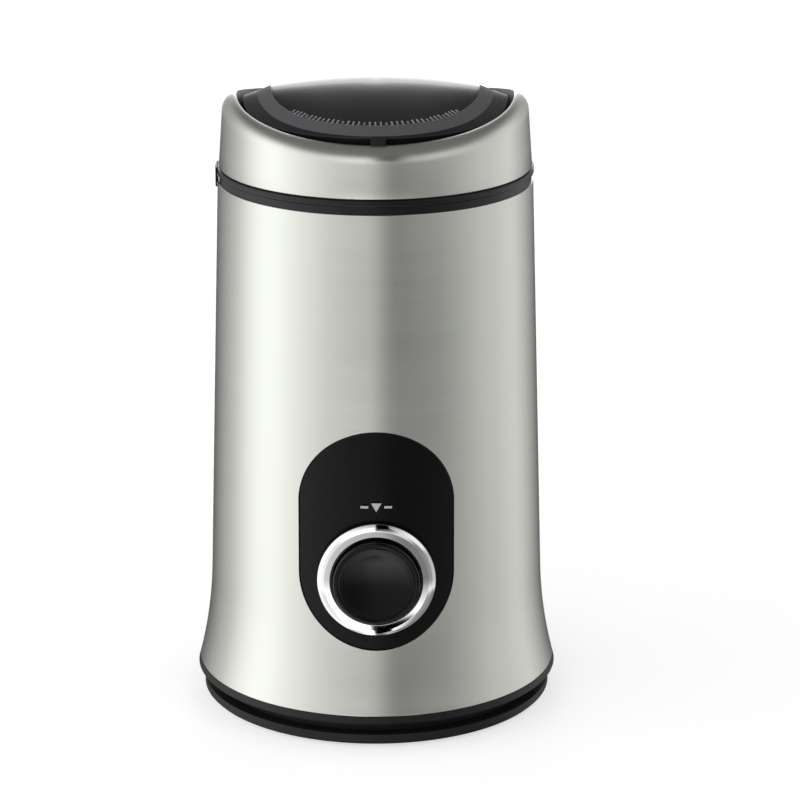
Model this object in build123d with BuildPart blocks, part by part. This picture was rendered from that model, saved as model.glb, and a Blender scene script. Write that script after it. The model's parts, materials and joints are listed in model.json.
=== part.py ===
"""Electric spice grinder, modelled as the separate pieces that it is assembled from.

Millimetres, +Z up. The worktop is z = 0, the grinder's axis is the Z axis, and the button faces -Y.
"""

import os
from math import cos, radians, sin

from build123d import *

os.makedirs("parts", exist_ok=True)

# ------------------------------------------------------------------ gaps between pieces
running_gap = 0.05  # shaft in its bushes and seal
fit_gap = 0.15  # pieces pushed together by hand
moving_gap = 0.3  # pieces that pass each other
root_overlap = 1.0  # a rib or blade reaches this far into what it grows from

# ------------------------------------------------------------------ base
foot_drop = 1.0  # worktop to base cover
skirt_radius = 53.6  # steel sleeve at its lower edge
lip_overhang = 0.5  # housing's lip beyond the steel that stands on it
lip_height = 2.6
lip_round = 0.7
band_inset = 1.8  # base cover's edge inside the lip's
band_height = 3.1
groove_depth = 3.8
groove_height = 3.5
cover_floor = 2.2
cover_spigot = 6.4
cover_wall = 2.0

lip_radius = skirt_radius + lip_overhang
band_radius = lip_radius - band_inset
groove_radius = band_radius - groove_depth
lip_bore = groove_radius + moving_gap
cover_bottom = foot_drop
cover_inside = cover_bottom + cover_floor
groove_bottom = cover_bottom + band_height
lip_bottom = groove_bottom + groove_height
sleeve_bottom = lip_bottom + lip_height
cover_top = lip_bottom + cover_spigot

# ------------------------------------------------------------------ feet, screws and cord outlet
foot_radius = 6.0
foot_recess = 1.2
foot_inset = 10.3
foot_count = 4
foot_start = 45.0
screw_inset = 10.5
screw_radius = 1.5
screw_head = 2.9
screw_head_height = 2.0
screw_length = 22.0
screw_recess = 3.0
boss_radius = 4.5
boss_height = 15.7
cord_bore = 3.1
gland_radius = 4.0
gland_lift = 4.6
gland_tail = 3.5
gland_neck = 0.5
vent_count = 8
vent_circle = 19.0
vent_length = 12.0
vent_width = 2.6

foot_circle = band_radius - foot_inset
foot_seat = cover_bottom + foot_recess
screw_circle = groove_radius - screw_inset
screw_seat = cover_bottom + screw_recess
boss_split = cover_top + moving_gap  # where the cover's screw bosses meet the housing's
boss_top = boss_split + boss_height
gland_level = cover_bottom + gland_lift
gland_end = groove_radius - cover_wall - gland_tail  # gland's inner end behind the axis

# ------------------------------------------------------------------ motor, from the fan upwards
fan_lift = 9.8  # base cover to fan
fan_radius = 22.0
fan_hub = 5.5
fan_height = 7.0
fan_disc = 1.2
fan_blades = 8
fan_blade_wall = 1.2
fan_gap = 2.0
shaft_radius = 3.0
shaft_thread_radius = 2.5
shaft_stub = 1.0  # shaft beyond the fan
washer_radius = 4.0
washer_height = 1.0
bush_radius = 6.0
bush_height = 8.0
bush_cup_wall = 2.0
bush_cup_floor = 1.0
plate_thickness = 3.0
upper_plate_width = 24.0
arm_width = 13.0
leg_size = 6.0
slot_count = 12
commutator_radius = 9.0
commutator_height = 9.0
commutator_slit = 0.6
commutator_gap = 0.6
commutator_room = 0.4  # commutator to armature winding
riser_height = 0.8
brush_size = 5.0
brush_length = 10.0
brush_gap = 0.15
holder_wall = 1.4
holder_gap = 1.6
holder_length = 16.4
brush_spring_radius = 1.8
brush_spring_wire = 0.6
brush_spring_turns = 2.0
winding_overhang = 6.0
winding_slope = 2.5
winding_room = 2.0  # armature winding to upper plate
core_length = 25.0
mount_height = 8.0
mount_radius = 4.0
mount_screw = 1.5
mount_head = 3.0
mount_head_height = 1.8

fan_bottom = cover_inside + fan_lift
fan_top = fan_bottom + fan_height
shaft_bottom = fan_bottom - shaft_stub
bush_cup_bottom = fan_top + fan_gap
lower_bush_bottom = bush_cup_bottom + bush_cup_floor
lower_plate_bottom = lower_bush_bottom + bush_height
lower_plate_top = lower_plate_bottom + plate_thickness
commutator_bottom = lower_plate_top + commutator_gap
commutator_top = commutator_bottom + commutator_height
core_bottom = commutator_top + commutator_room + winding_overhang
core_top = core_bottom + core_length
upper_plate_bottom = core_top + winding_overhang + winding_room
upper_plate_top = upper_plate_bottom + plate_thickness
bulkhead_bottom = upper_plate_top + mount_height

# ------------------------------------------------------------------ bulkhead, bowl and body, upwards
bulkhead_thickness = 3.0
bulkhead_hole = 11.0
bulkhead_gap = 3.0  # bulkhead to bowl
shoulder_radius = 46.1  # steel sleeve at its upper edge
waist_radius = 49.6  # steel sleeve where its flare ends
flare_height = 28.8
sleeve_wall = 0.8
housing_gap = 0.3
housing_wall = 1.6
flare_facets = 3  # straight stretches in the flare of the housing, which is out of sight
bowl_inset = 10.1  # bowl inside the steel sleeve's upper edge
bowl_wall = 0.8
bowl_depth = 52.0
bowl_corner = 9.0
bowl_flange_width = 4.4
bowl_boss_height = 3.0
seal_height = 2.0
seal_radius = 6.0
seal_clear = 0.8
seal_flange = 1.4
seal_lip = 0.4
bowl_ring_height = 2.5
collar_top_gap = 2.3  # part of the top collar that shows above the sleeve
collar_inset = 0.5
collar_lap = 1.0  # collar over the bowl's flange
collar_seat = 8.0  # sleeve edge down to the ring under the bowl's seal

bulkhead_top = bulkhead_bottom + bulkhead_thickness
bowl_bottom = bulkhead_top + bulkhead_gap
bowl_floor = bowl_bottom + bowl_wall
bowl_rim = bowl_floor + bowl_depth
bowl_ring_top = bowl_rim - bowl_wall - seal_height
housing_top = bowl_ring_top - bowl_ring_height
sleeve_top = bowl_ring_top + collar_seat
collar_top = sleeve_top + collar_top_gap
seal_top = bowl_floor + bowl_boss_height + seal_lip
flare_top = sleeve_bottom + flare_height
housing_inset = sleeve_wall + housing_gap
bowl_radius = shoulder_radius - bowl_inset
bowl_flange = bowl_radius + bowl_flange_width
seal_bore = bowl_radius + bowl_wall + seal_clear
collar_radius = shoulder_radius - collar_inset
collar_spigot = shoulder_radius - housing_inset
collar_bore = bowl_flange - collar_lap
collar_pocket = bowl_flange + 2 * moving_gap

# ------------------------------------------------------------------ lid
lid_collar_proud = 0.1  # lid's collar beyond the steel sleeve
lid_collar_height = 1.8
lid_shadow_depth = 0.4
lid_shadow_gap = 0.3
lid_inset = 0.4  # steel band's foot inside the steel sleeve
lid_taper = 0.068  # loss of radius for each millimetre of height
lid_wall = 0.8
lid_height = 14.4  # steel band at the front and back
saddle_radius = 120.0
shoulder_fillet = 5.0
shoulder_chamfer = 3.0  # inside the shoulder
rim_width = 5.4
rim_flange = 3.5
dome_height = 11.2
dome_radius_across = 187.0  # curvature from side to side
dome_radius_along = 91.0  # curvature from front to back
window_gap = 1.8
window_wall = 2.2
window_bevel = 3.5
window_bevel_drop = 1.2
skirt_gap = 1.2
skirt_reach = 7.2  # window's skirt below the top of the collar
flange_thickness = 2.0
lid_spigot_gap = 0.6
lid_spigot_wall = 1.7
lid_spigot_height = 5.6
lid_seal_height = 2.4
lid_seal_depth = 0.5
lug_thickness = 0.5
lug_height = 5.6
lug_angle = 12.0

lid_bottom = collar_top
lid_collar_top = lid_bottom + lid_collar_height
lid_band_bottom = lid_collar_top + lid_shadow_gap
lid_spigot_top = lid_band_bottom + lid_spigot_height
rim_low = lid_band_bottom + lid_height
dome_top = rim_low + dome_height
skirt_bottom = collar_top - skirt_reach
lid_seal_bottom = skirt_bottom + lid_seal_height
lid_foot_radius = shoulder_radius - lid_inset
lid_collar_radius = shoulder_radius + lid_collar_proud
lid_shadow_radius = lid_foot_radius - lid_shadow_depth
lid_spigot = lid_foot_radius - lid_wall - lid_spigot_gap
lid_skirt_radius = collar_bore - skirt_gap
rim_radius = lid_foot_radius - rim_width
window_radius = rim_radius - window_gap
lug_inner = shoulder_radius + fit_gap
lug_outer = lug_inner + lug_thickness

# ------------------------------------------------------------------ control panel and button
panel_width = 44.6
panel_height = 65.4
panel_lift = 11.1  # panel's centre above the button's
panel_proud = 0.5
button_lift = 41.0  # button above the steel sleeve's lower edge
button_travel = 3.0
boss_proud = 1.36  # flat button boss beyond the steel sleeve
boss_web = 2.8
boss_edge = 0.6
boss_gap = 0.4
ring_outer = 17.0
ring_width = 3.3
ring_height = 1.5
ring_crest = 1.2
ring_edge = 0.3
cap_gap = 0.8
cap_proud = 3.3
cap_face = 1.6
cap_wall = 1.5
cap_flange_width = 1.7
cap_flange_height = 1.2
cap_round = 0.6
dish_inset = 1.7
dish_depth = 1.0
dish_slope = 0.75  # dish's depth halfway out, as a share
plunger_radius = 4.0
plunger_shoulder = 1.0
plunger_gap = 0.1  # button's plunger to the switch's, both pushed in
guide_plate = 2.5
guide_wall = 2.0
guide_gap = 1.0
arm_thickness = 2.0
arm_reach = 16.0
arm_height = 10.0
button_spring_radius = 7.6
button_spring_wire = 1.0
button_spring_turns = 3.0


def taper_radius(level):
    """The steel sleeve's radius at a height above its flare."""
    share = (sleeve_top - level) / (sleeve_top - flare_top)
    return shoulder_radius + share * (waist_radius - shoulder_radius)


button_level = sleeve_bottom + button_lift
panel_level = button_level + panel_lift
boss_front = taper_radius(button_level) + boss_proud
boss_ring = ring_outer + boss_edge
ring_inner = ring_outer - ring_width
cap_radius = ring_inner - cap_gap
boss_hole = cap_radius + boss_gap
cap_flange = cap_radius + cap_flange_width
boss_pocket = cap_flange + 2 * moving_gap
dish_radius = cap_radius - dish_inset
cap_front = boss_front + cap_proud
cap_inside = cap_front - dish_depth - cap_face
cap_back = boss_front - boss_web - moving_gap - cap_flange_height
boss_back = cap_back - button_travel - moving_gap
guide_radius = boss_ring - fit_gap
guide_tube = plunger_radius + fit_gap + guide_wall

# ------------------------------------------------------------------ switches
switch_length = 20.0
switch_depth = 9.5
switch_thickness = 6.4
switch_setback = 7.0  # power switch behind the panel's boss
switch_plunger = 1.2
switch_travel = 1.5
switch_round = 1.0
plunger_proud = 1.8
plunger_sunk = 3.0
terminal_length = 5.0
terminal_width = 4.0
terminal_thickness = 0.8
terminal_pitch = 6.5
interlock_pad = 2.5
interlock_pad_place = 7.0
pin_radius = 1.1
pin_wall = 0.5
pin_collar = 1.9
pin_collar_lift = 13.0
peg_length = 3.1
interlock_wire = 0.6
interlock_turns = 3.0

switch_front = boss_back - switch_setback
switch_back = switch_front - switch_depth
switch_tip = switch_front + plunger_proud
plunger_end = switch_tip - switch_travel + button_travel + plunger_gap
guide_end = switch_front + guide_gap
interlock_top = bulkhead_bottom - interlock_pad
interlock_bore = taper_radius(interlock_top) - housing_inset - housing_wall
interlock_outer = (interlock_bore**2 - (switch_length / 2) ** 2) ** 0.5 - moving_gap
pin_offset = bowl_flange + pin_wall + moving_gap + pin_radius  # pin's distance to the left of the axis
pin_bottom = interlock_top + plunger_proud
pin_top = collar_top - peg_length - moving_gap
pin_collar_level = bulkhead_top + pin_collar_lift

# ------------------------------------------------------------------ motor, outwards from its axis
stator_width = 56.0
stator_corner = 8.0
stator_gap = 1.5  # motor to power switch
core_back = 3.3
coil_clearance = 0.3
coil_depth = 5.0
coil_overhang = 5.0
coil_leg_angle = 22.0
coil_window_half = 27.0
coil_gap_angle = 3.0
pole_gap = 0.8
air_gap = 0.6
slot_depth = 6.4
slot_angle = 18.0
slot_wire_angle = 17.0
slot_mouth = 6.0
tooth_tip = 1.6
winding_inset = 2.4
bolt_edge = 3.0
bolt_radius = 1.6
bolt_head = 3.0
bolt_head_height = 2.2
mount_inset = 8.0

stator_depth = 2 * (switch_back - stator_gap)
coil_outer = stator_depth / 2 - core_back - coil_clearance
coil_inner = coil_outer - coil_depth
bore_radius = coil_inner - pole_gap
armature_radius = bore_radius - air_gap
slot_top = armature_radius - tooth_tip
slot_floor = slot_top - slot_depth
winding_radius = armature_radius - winding_inset
bolt_offset = stator_width / 2 - bolt_edge
mount_offset = bolt_offset - mount_inset
holder_start = commutator_radius + holder_gap
holder_end = holder_start + holder_length
holder_half = brush_size / 2 + holder_wall
holder_level = lower_plate_top + holder_half
brush_slot = brush_size / 2 + running_gap
brush_back = commutator_radius + brush_gap + brush_length

# ------------------------------------------------------------------ blade
blade_lift = 7.2  # bowl's floor to blade
blade_thickness = 1.6
blade_clear = 4.0  # blade's tips to the bowl's wall
blade_root = 6.5
blade_flat = 10.5
blade_width = 9.5
blade_tip_width = 6.5
blade_rise = 6.0
blade_drop = 3.0
blade_twist = 24.0
hub_radius = 5.0
nut_radius = 4.5
nut_height = 4.0
nut_wall = 1.0

blade_level = bowl_floor + blade_lift
blade_reach = bowl_radius - blade_clear
nut_bottom = blade_level + blade_thickness
shaft_top = nut_bottom + nut_height - nut_wall

# ------------------------------------------------------------------ electrical pieces in the base
terminal_block_size = (20.0, 11.0, 9.0)
terminal_block_gap = 10.0  # cord outlet's inner end to the block's centre
capacitor_size = (7.0, 24.0, 13.0)
capacitor_gap = 4.0
cutout_size = (12.0, 4.0, 2.6)

terminal_block_place = (0.0, gland_end - terminal_block_gap)
capacitor_place = (-fan_radius - capacitor_gap - capacitor_size[0] / 2, 0.0)


def disc(radius, low, high, mode=Mode.ADD):
    """A cylinder along Z between two heights, at the current locations."""
    with Locations((0, 0, low)):
        Cylinder(radius, high - low, align=(Align.CENTER, Align.CENTER, Align.MIN), mode=mode)


def rod(radius, back, front, level, x=0, mode=Mode.ADD):
    """A cylinder along Y from back to front millimetres in front of the axis, at a height."""
    with Locations((x, -(back + front) / 2, level)):
        Cylinder(radius, front - back, rotation=(90, 0, 0), mode=mode)


def block(x, y, z, mode=Mode.ADD):
    """A box that spans the given (low, high) pairs."""
    with Locations((x[0], y[0], z[0])):
        Box(x[1] - x[0], y[1] - y[0], z[1] - z[0], align=(Align.MIN,) * 3, mode=mode)


def sleeve_form(inset, low, high, facets=0):
    """The solid inside the steel sleeve's outer face, moved inwards by inset, from low to high.

    Its flare is an arc, or as many straight stretches along that arc as facets says.
    """
    with BuildPart() as form:
        with BuildSketch(Plane.XZ):
            with BuildLine():
                taper = Line((shoulder_radius - inset, sleeve_top), (waist_radius - inset, flare_top))
                flare = TangentArc(
                    taper @ 1,
                    (skirt_radius - inset, sleeve_bottom),
                    tangent=taper % 1,
                    mode=Mode.PRIVATE if facets else Mode.ADD,
                )
                if facets:
                    Polyline(*[flare @ (step / facets) for step in range(facets + 1)])
                Polyline(flare @ 1, (0, sleeve_bottom), (0, sleeve_top), taper @ 0)
            make_face()
            with Locations((0, low)):
                Rectangle(
                    2 * lip_radius,
                    high - low,
                    align=(Align.CENTER, Align.MIN),
                    mode=Mode.INTERSECT,
                )
        revolve(axis=Axis.Z)
    return form.part


def stadium(grow, thickness):
    """The control panel's outline, grown all round, as a prism that runs forwards from the axis."""
    with BuildPart() as prism:
        with BuildSketch(Plane.XZ):
            with Locations((0, panel_level)):
                SlotOverall(panel_height + 2 * grow, panel_width + 2 * grow, rotation=90)
        extrude(amount=thickness)
    return prism.part


def annular_sector(inner, outer, start, sweep):
    """The face between two radii, from a start angle through a sweep, in degrees."""
    with BuildSketch() as sector:
        with BuildLine():
            far = CenterArc((0, 0), outer, start, sweep)
            near = CenterArc((0, 0), inner, start, sweep)
            Line(far @ 0, near @ 0)
            Line(far @ 1, near @ 1)
        make_face()
    return sector.sketch


def spring(radius, height, turns, wire):
    """A compression spring of square wire that stands on the XY plane."""
    pitch = (height - wire) / turns
    with BuildPart() as coil:
        with BuildLine():
            path = Helix(pitch, height - wire, radius, center=(0, 0, wire / 2))
        with BuildSketch(Plane(path @ 0, z_dir=path % 0)):
            Rectangle(wire, wire)
        sweep(path=path, is_frenet=True)
    return coil.part


def lid_form(inset):
    """The lid band's outside, moved inwards: tapered wall, saddle-shaped top and its sharp rim."""
    crest = saddle_radius - (saddle_radius**2 - lid_foot_radius**2) ** 0.5
    tall = rim_low + crest
    lean = lid_taper * (tall - lid_band_bottom)
    with BuildPart() as form:
        with BuildSketch(Plane.XZ):
            with BuildLine():
                Polyline(
                    (0, lid_band_bottom),
                    (lid_foot_radius - inset, lid_band_bottom),
                    (lid_foot_radius - lean - inset, tall),
                    (0, tall),
                    close=True,
                )
            make_face()
        revolve(axis=Axis.Z)
        with Locations((0, 0, rim_low + saddle_radius)):
            Cylinder(
                saddle_radius + inset, 4 * lid_foot_radius, rotation=(90, 0, 0), mode=Mode.SUBTRACT
            )
    return form.part


def window_form(inset, radius, low):
    """The lid window's outside, moved inwards: a cylinder under a barrel-shaped dome."""
    across = dome_radius_across - inset
    along = dome_radius_along - inset
    half = radius + window_wall
    axis_level = dome_top - dome_radius_across
    crown = axis_level + across
    edge = crown - along + (along**2 - half**2) ** 0.5
    with BuildPart() as form:
        with BuildSketch(Plane.YZ):
            with BuildLine():
                ThreePointArc((-half, edge), (0, crown), (half, edge))
                Polyline((half, edge), (half, axis_level), (-half, axis_level), (-half, edge))
            make_face()
        revolve(axis=Axis((0, 0, axis_level), (0, 1, 0)))
        with Locations((0, 0, low)):
            Cylinder(
                radius,
                dome_top - low,
                align=(Align.CENTER, Align.CENTER, Align.MIN),
                mode=Mode.INTERSECT,
            )
    return form.part


def blade_wing(direction, rise, twist):
    """One wing of the blade, lofted outwards along X while it rises, narrows and twists."""
    stations = (
        (blade_root - blade_thickness, 0, 0, blade_width),
        (blade_flat, 0, 0, blade_width),
        (blade_reach, rise, twist, blade_tip_width),
    )
    with BuildPart() as wing:
        for reach, lift, turn, width in stations:
            section = Plane(
                (direction * reach, 0, blade_level + blade_thickness / 2 + lift),
                x_dir=(0, cos(radians(turn)), sin(radians(turn))),
                z_dir=(direction, 0, 0),
            )
            with BuildSketch(section):
                Rectangle(width, blade_thickness)
        loft(ruled=True)
    return wing.part


# ================================================================== outer pieces
sleeve_outside = sleeve_form(0, sleeve_bottom, sleeve_top)
sleeve_inside = sleeve_form(sleeve_wall, sleeve_bottom, sleeve_top)
panel_opening = stadium(fit_gap, 2 * lip_radius)

with BuildPart() as outer_sleeve:
    add(sleeve_outside)
    add(sleeve_inside, mode=Mode.SUBTRACT)
    add(panel_opening, mode=Mode.SUBTRACT)

housing_outside = sleeve_form(housing_inset, sleeve_bottom, housing_top, flare_facets)
housing_inside = sleeve_form(
    housing_inset + housing_wall, sleeve_bottom, housing_top, flare_facets
)
bulkhead_blank = sleeve_form(
    housing_inset + housing_wall / 2, bulkhead_bottom, bulkhead_top, flare_facets
)
screw_angles = (0, 180, 270)

with BuildPart() as housing_bosses:
    for angle in screw_angles:
        with PolarLocations(screw_circle, 1, start_angle=angle):
            disc(boss_radius, boss_split, boss_top)
            with Locations((boss_radius - root_overlap, 0, boss_split)):
                Box(
                    waist_radius - screw_circle,
                    cover_wall,
                    boss_top - boss_split,
                    align=(Align.MIN, Align.CENTER, Align.MIN),
                )
            disc(screw_radius, boss_split, boss_top, mode=Mode.SUBTRACT)
    add(housing_outside, mode=Mode.INTERSECT)

with BuildPart() as inner_housing:
    add(housing_outside)
    add(housing_inside, mode=Mode.SUBTRACT)
    # lip that the steel sleeve stands on
    with BuildSketch(Plane.XZ):
        with BuildLine():
            Polyline(
                (skirt_radius, sleeve_bottom),
                (lip_bore, sleeve_bottom),
                (lip_bore, lip_bottom),
                (lip_radius - lip_round, lip_bottom),
                (lip_radius, lip_bottom + lip_round),
                close=True,
            )
        make_face()
    revolve(axis=Axis.Z)
    add(housing_bosses.part)
    add(bulkhead_blank)
    disc(bulkhead_hole, bulkhead_bottom, bulkhead_top, mode=Mode.SUBTRACT)
    with Locations((0, 0, bulkhead_top)):
        with GridLocations(2 * mount_offset, 0, 2, 1):
            Hole(mount_screw + fit_gap, bulkhead_thickness)
    # pads that the interlock switch hangs from
    with Locations((-pin_offset, interlock_pad_place), (-pin_offset, -interlock_pad_place)):
        with Locations((0, 0, interlock_top)):
            Box(
                2 * pin_radius,
                switch_length / 2 - interlock_pad_place,
                bulkhead_bottom - interlock_top,
                align=(Align.MIN, Align.CENTER, Align.MIN),
            )
    with Locations((-pin_offset, 0)):
        disc(pin_radius + moving_gap, bulkhead_bottom, bulkhead_top, mode=Mode.SUBTRACT)
    rod(boss_ring + moving_gap, 0, lip_radius, button_level, mode=Mode.SUBTRACT)
    rod(gland_radius + fit_gap, -lip_radius, -gland_end, gland_level, mode=Mode.SUBTRACT)

with BuildPart() as base_cover:
    with BuildSketch(Plane.XZ):
        with BuildLine():
            Polyline(
                (0, cover_bottom),
                (band_radius - lip_round, cover_bottom),
                (band_radius, cover_bottom + lip_round),
                (band_radius, groove_bottom),
                (groove_radius, groove_bottom),
                (groove_radius, cover_top),
                (groove_radius - cover_wall, cover_top),
                (groove_radius - cover_wall, cover_inside),
                (0, cover_inside),
                close=True,
            )
        make_face()
    revolve(axis=Axis.Z)
    for angle in screw_angles:
        with PolarLocations(screw_circle, 1, start_angle=angle):
            disc(boss_radius, cover_bottom, boss_split)
            disc(screw_radius + fit_gap, cover_bottom, boss_split, mode=Mode.SUBTRACT)
            disc(screw_head + moving_gap, cover_bottom, screw_seat, mode=Mode.SUBTRACT)
    with PolarLocations(foot_circle, foot_count, start_angle=foot_start):
        disc(foot_radius + fit_gap, cover_bottom, foot_seat, mode=Mode.SUBTRACT)
    # ring of cooling slots under the fan
    with BuildSketch(Plane.XY.offset(cover_bottom)):
        with PolarLocations(vent_circle, vent_count):
            Rectangle(vent_length, vent_width)
    extrude(amount=cover_floor, mode=Mode.SUBTRACT)
    rod(gland_radius + fit_gap, -lip_radius, -gland_end, gland_level, mode=Mode.SUBTRACT)

with BuildPart() as rubber_feet:
    with PolarLocations(foot_circle, foot_count, start_angle=foot_start):
        disc(foot_radius, 0, foot_seat)

with BuildPart() as base_screws:
    for angle in screw_angles:
        with PolarLocations(screw_circle, 1, start_angle=angle):
            disc(screw_head, screw_seat - screw_head_height, screw_seat)
            disc(screw_radius, screw_seat, screw_seat + screw_length)

with BuildPart() as cord_gland:
    rod(gland_radius, -band_radius, -gland_end, gland_level)
    rod(gland_radius - gland_neck, -groove_radius, -groove_radius + cover_wall, gland_level)
    rod(cord_bore, -band_radius, -gland_end, gland_level, mode=Mode.SUBTRACT)
    chamfer(cord_gland.edges().sort_by(Axis.Y)[-1], gland_neck)

with BuildPart() as top_collar:
    with BuildSketch(Plane.XZ):
        with BuildLine():
            Polyline(
                (collar_bore, bowl_rim),
                (collar_pocket, bowl_rim),
                (collar_pocket, bowl_ring_top),
                (collar_spigot, bowl_ring_top),
                (collar_spigot, sleeve_top),
                (collar_radius, sleeve_top),
                (collar_radius, collar_top),
                (collar_bore + moving_gap, collar_top),
                (collar_bore, collar_top - moving_gap),
                close=True,
            )
        make_face()
    revolve(axis=Axis.Z)
    with Locations((-pin_offset, 0)):
        disc(pin_radius + moving_gap, bowl_ring_top, collar_top, mode=Mode.SUBTRACT)

# ================================================================== bowl, its ring and seals
with BuildPart() as bowl_ring:
    disc(collar_spigot, housing_top, bowl_ring_top)
    disc(seal_bore, housing_top, bowl_ring_top, mode=Mode.SUBTRACT)
    with Locations((-pin_offset, 0)):
        disc(pin_radius + moving_gap, housing_top, bowl_ring_top, mode=Mode.SUBTRACT)

with BuildPart() as grinding_bowl:
    disc(bowl_radius + bowl_wall, bowl_bottom, bowl_rim)
    fillet(grinding_bowl.edges().sort_by(Axis.Z)[0], bowl_corner)
    offset(amount=-bowl_wall, openings=grinding_bowl.faces().sort_by(Axis.Z)[-1])
    with BuildSketch(Plane.XY.offset(bowl_rim - bowl_wall)):
        Circle(bowl_flange)
        Circle(bowl_radius, mode=Mode.SUBTRACT)
    extrude(amount=bowl_wall)
    disc(seal_radius + bowl_wall, bowl_bottom, bowl_floor + bowl_boss_height)
    disc(seal_radius, bowl_bottom, bowl_floor + bowl_boss_height, mode=Mode.SUBTRACT)

with BuildPart() as bowl_seal:
    with BuildSketch(Plane.XY.offset(bowl_ring_top)):
        Circle(bowl_flange - fit_gap)
        Circle(seal_bore, mode=Mode.SUBTRACT)
    extrude(amount=seal_height)

with BuildPart() as shaft_seal:
    disc(seal_radius + seal_flange, bowl_bottom - seal_flange, bowl_bottom)
    disc(seal_radius, bowl_bottom, seal_top)
    disc(shaft_radius + running_gap, bowl_bottom - seal_flange, seal_top, mode=Mode.SUBTRACT)

# ================================================================== lid
lid_outside = lid_form(0)
lid_inside = lid_form(lid_wall)
dome_outside = window_form(0, window_radius, lid_spigot_top)
dome_inside = window_form(window_wall, lid_skirt_radius - window_wall, skirt_bottom)
lug_plate = annular_sector(lug_inner, lug_outer, 180 - lug_angle / 2, lug_angle)
lug_root = annular_sector(lid_shadow_radius, lug_outer, 180 - lug_angle / 2, lug_angle)

with BuildPart() as lid_cavity:
    add(lid_inside)
    chamfer(lid_cavity.edges().sort_by(Axis.Z)[-1], shoulder_chamfer)
    disc(rim_radius + lid_wall, rim_low - rim_flange, dome_top, mode=Mode.SUBTRACT)

with BuildPart() as lid_band:
    add(lid_outside)
    fillet(lid_band.edges().sort_by(Axis.Z)[-1], shoulder_fillet)
    add(lid_cavity.part, mode=Mode.SUBTRACT)
    disc(rim_radius, lid_band_bottom, dome_top, mode=Mode.SUBTRACT)

with BuildPart() as lid_window:
    add(dome_outside)
    dome_edge = lid_window.faces().sort_by(Axis.Z)[-1].edges()
    window_side = lid_window.faces().filter_by(GeomType.CYLINDER)[0]
    chamfer(dome_edge, window_bevel_drop, window_bevel, reference=window_side)
    disc(lid_spigot, lid_spigot_top, lid_spigot_top + flange_thickness)
    disc(lid_skirt_radius, skirt_bottom, lid_spigot_top)
    add(dome_inside, mode=Mode.SUBTRACT)
    with BuildSketch(Plane.XY.offset(lid_seal_bottom)):
        Circle(lid_skirt_radius)
        Circle(lid_skirt_radius - lid_seal_depth, mode=Mode.SUBTRACT)
    extrude(amount=lid_seal_height, mode=Mode.SUBTRACT)

with BuildPart() as lid_seal:
    with BuildSketch(Plane.XY.offset(lid_seal_bottom)):
        Circle(collar_bore - moving_gap)
        Circle(lid_skirt_radius - lid_seal_depth, mode=Mode.SUBTRACT)
    extrude(amount=lid_seal_height)

with BuildPart() as lid_collar:
    with BuildSketch(Plane.XZ):
        with BuildLine():
            Polyline(
                (lid_skirt_radius + fit_gap, lid_bottom),
                (lid_collar_radius, lid_bottom),
                (lid_collar_radius, lid_collar_top),
                (lid_shadow_radius, lid_collar_top),
                (lid_shadow_radius, lid_band_bottom),
                (lid_spigot, lid_band_bottom),
                (lid_spigot, lid_spigot_top),
                (lid_spigot - lid_spigot_wall, lid_spigot_top),
                (lid_spigot - lid_spigot_wall, lid_collar_top),
                (lid_skirt_radius + fit_gap, lid_collar_top),
                close=True,
            )
        make_face()
    revolve(axis=Axis.Z)
    with BuildSketch(Plane.XY.offset(lid_collar_top - lug_height)):
        add(lug_plate)
    extrude(amount=lug_height)
    with BuildSketch(Plane.XY.offset(lid_bottom + moving_gap)):
        add(lug_root)
    extrude(amount=lid_collar_height - moving_gap)
    with Locations((-pin_offset, 0)):
        disc(pin_radius, lid_bottom - peg_length, lid_bottom)

# ================================================================== control panel and button
panel_outside = sleeve_form(-panel_proud, sleeve_bottom, sleeve_top)
panel_inside = sleeve_form(housing_inset, sleeve_bottom, sleeve_top, flare_facets)
panel_outline = stadium(0, 2 * lip_radius)
button_plane = Plane((0, 0, button_level), x_dir=(0, -1, 0), z_dir=(-1, 0, 0))
button_axis = Axis((0, 0, button_level), (0, -1, 0))

with BuildPart() as control_panel:
    add(panel_outside)
    add(panel_inside, mode=Mode.SUBTRACT)
    add(panel_outline, mode=Mode.INTERSECT)
    rod(boss_ring, boss_back, boss_front, button_level)
    rod(boss_hole, boss_back, lip_radius, button_level, mode=Mode.SUBTRACT)
    rod(boss_pocket, boss_back, boss_front - boss_web, button_level, mode=Mode.SUBTRACT)

with BuildPart() as button_ring:
    with BuildSketch(button_plane):
        with BuildLine():
            crest = ThreePointArc(
                (boss_front + ring_edge, ring_outer),
                (boss_front + ring_crest, (ring_outer + ring_inner) / 2),
                (boss_front + ring_height, ring_inner + ring_edge),
            )
            Polyline(
                crest @ 1,
                (boss_front + ring_height - ring_edge, ring_inner),
                (boss_front, ring_inner),
                (boss_front, ring_outer),
                crest @ 0,
            )
        make_face()
    revolve(axis=button_axis)

with BuildPart() as button_cap:
    with BuildSketch(button_plane):
        with BuildLine():
            dish = ThreePointArc(
                (cap_front - dish_depth, 0),
                (cap_front - dish_slope * dish_depth, dish_radius / 2),
                (cap_front, dish_radius),
            )
            Polyline(
                dish @ 1,
                (cap_front, cap_radius - cap_round),
                (cap_front - cap_round, cap_radius),
                (cap_back + cap_flange_height, cap_radius),
                (cap_back + cap_flange_height, cap_flange),
                (cap_back, cap_flange),
                (cap_back, cap_radius - cap_wall),
                (cap_inside, cap_radius - cap_wall),
                (cap_inside, 0),
                dish @ 0,
            )
        make_face()
    revolve(axis=button_axis)

with BuildPart() as button_plunger:
    rod(plunger_radius, plunger_end, cap_inside, button_level)
    rod(plunger_radius + plunger_shoulder, cap_inside - plunger_shoulder, cap_inside, button_level)

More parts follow.
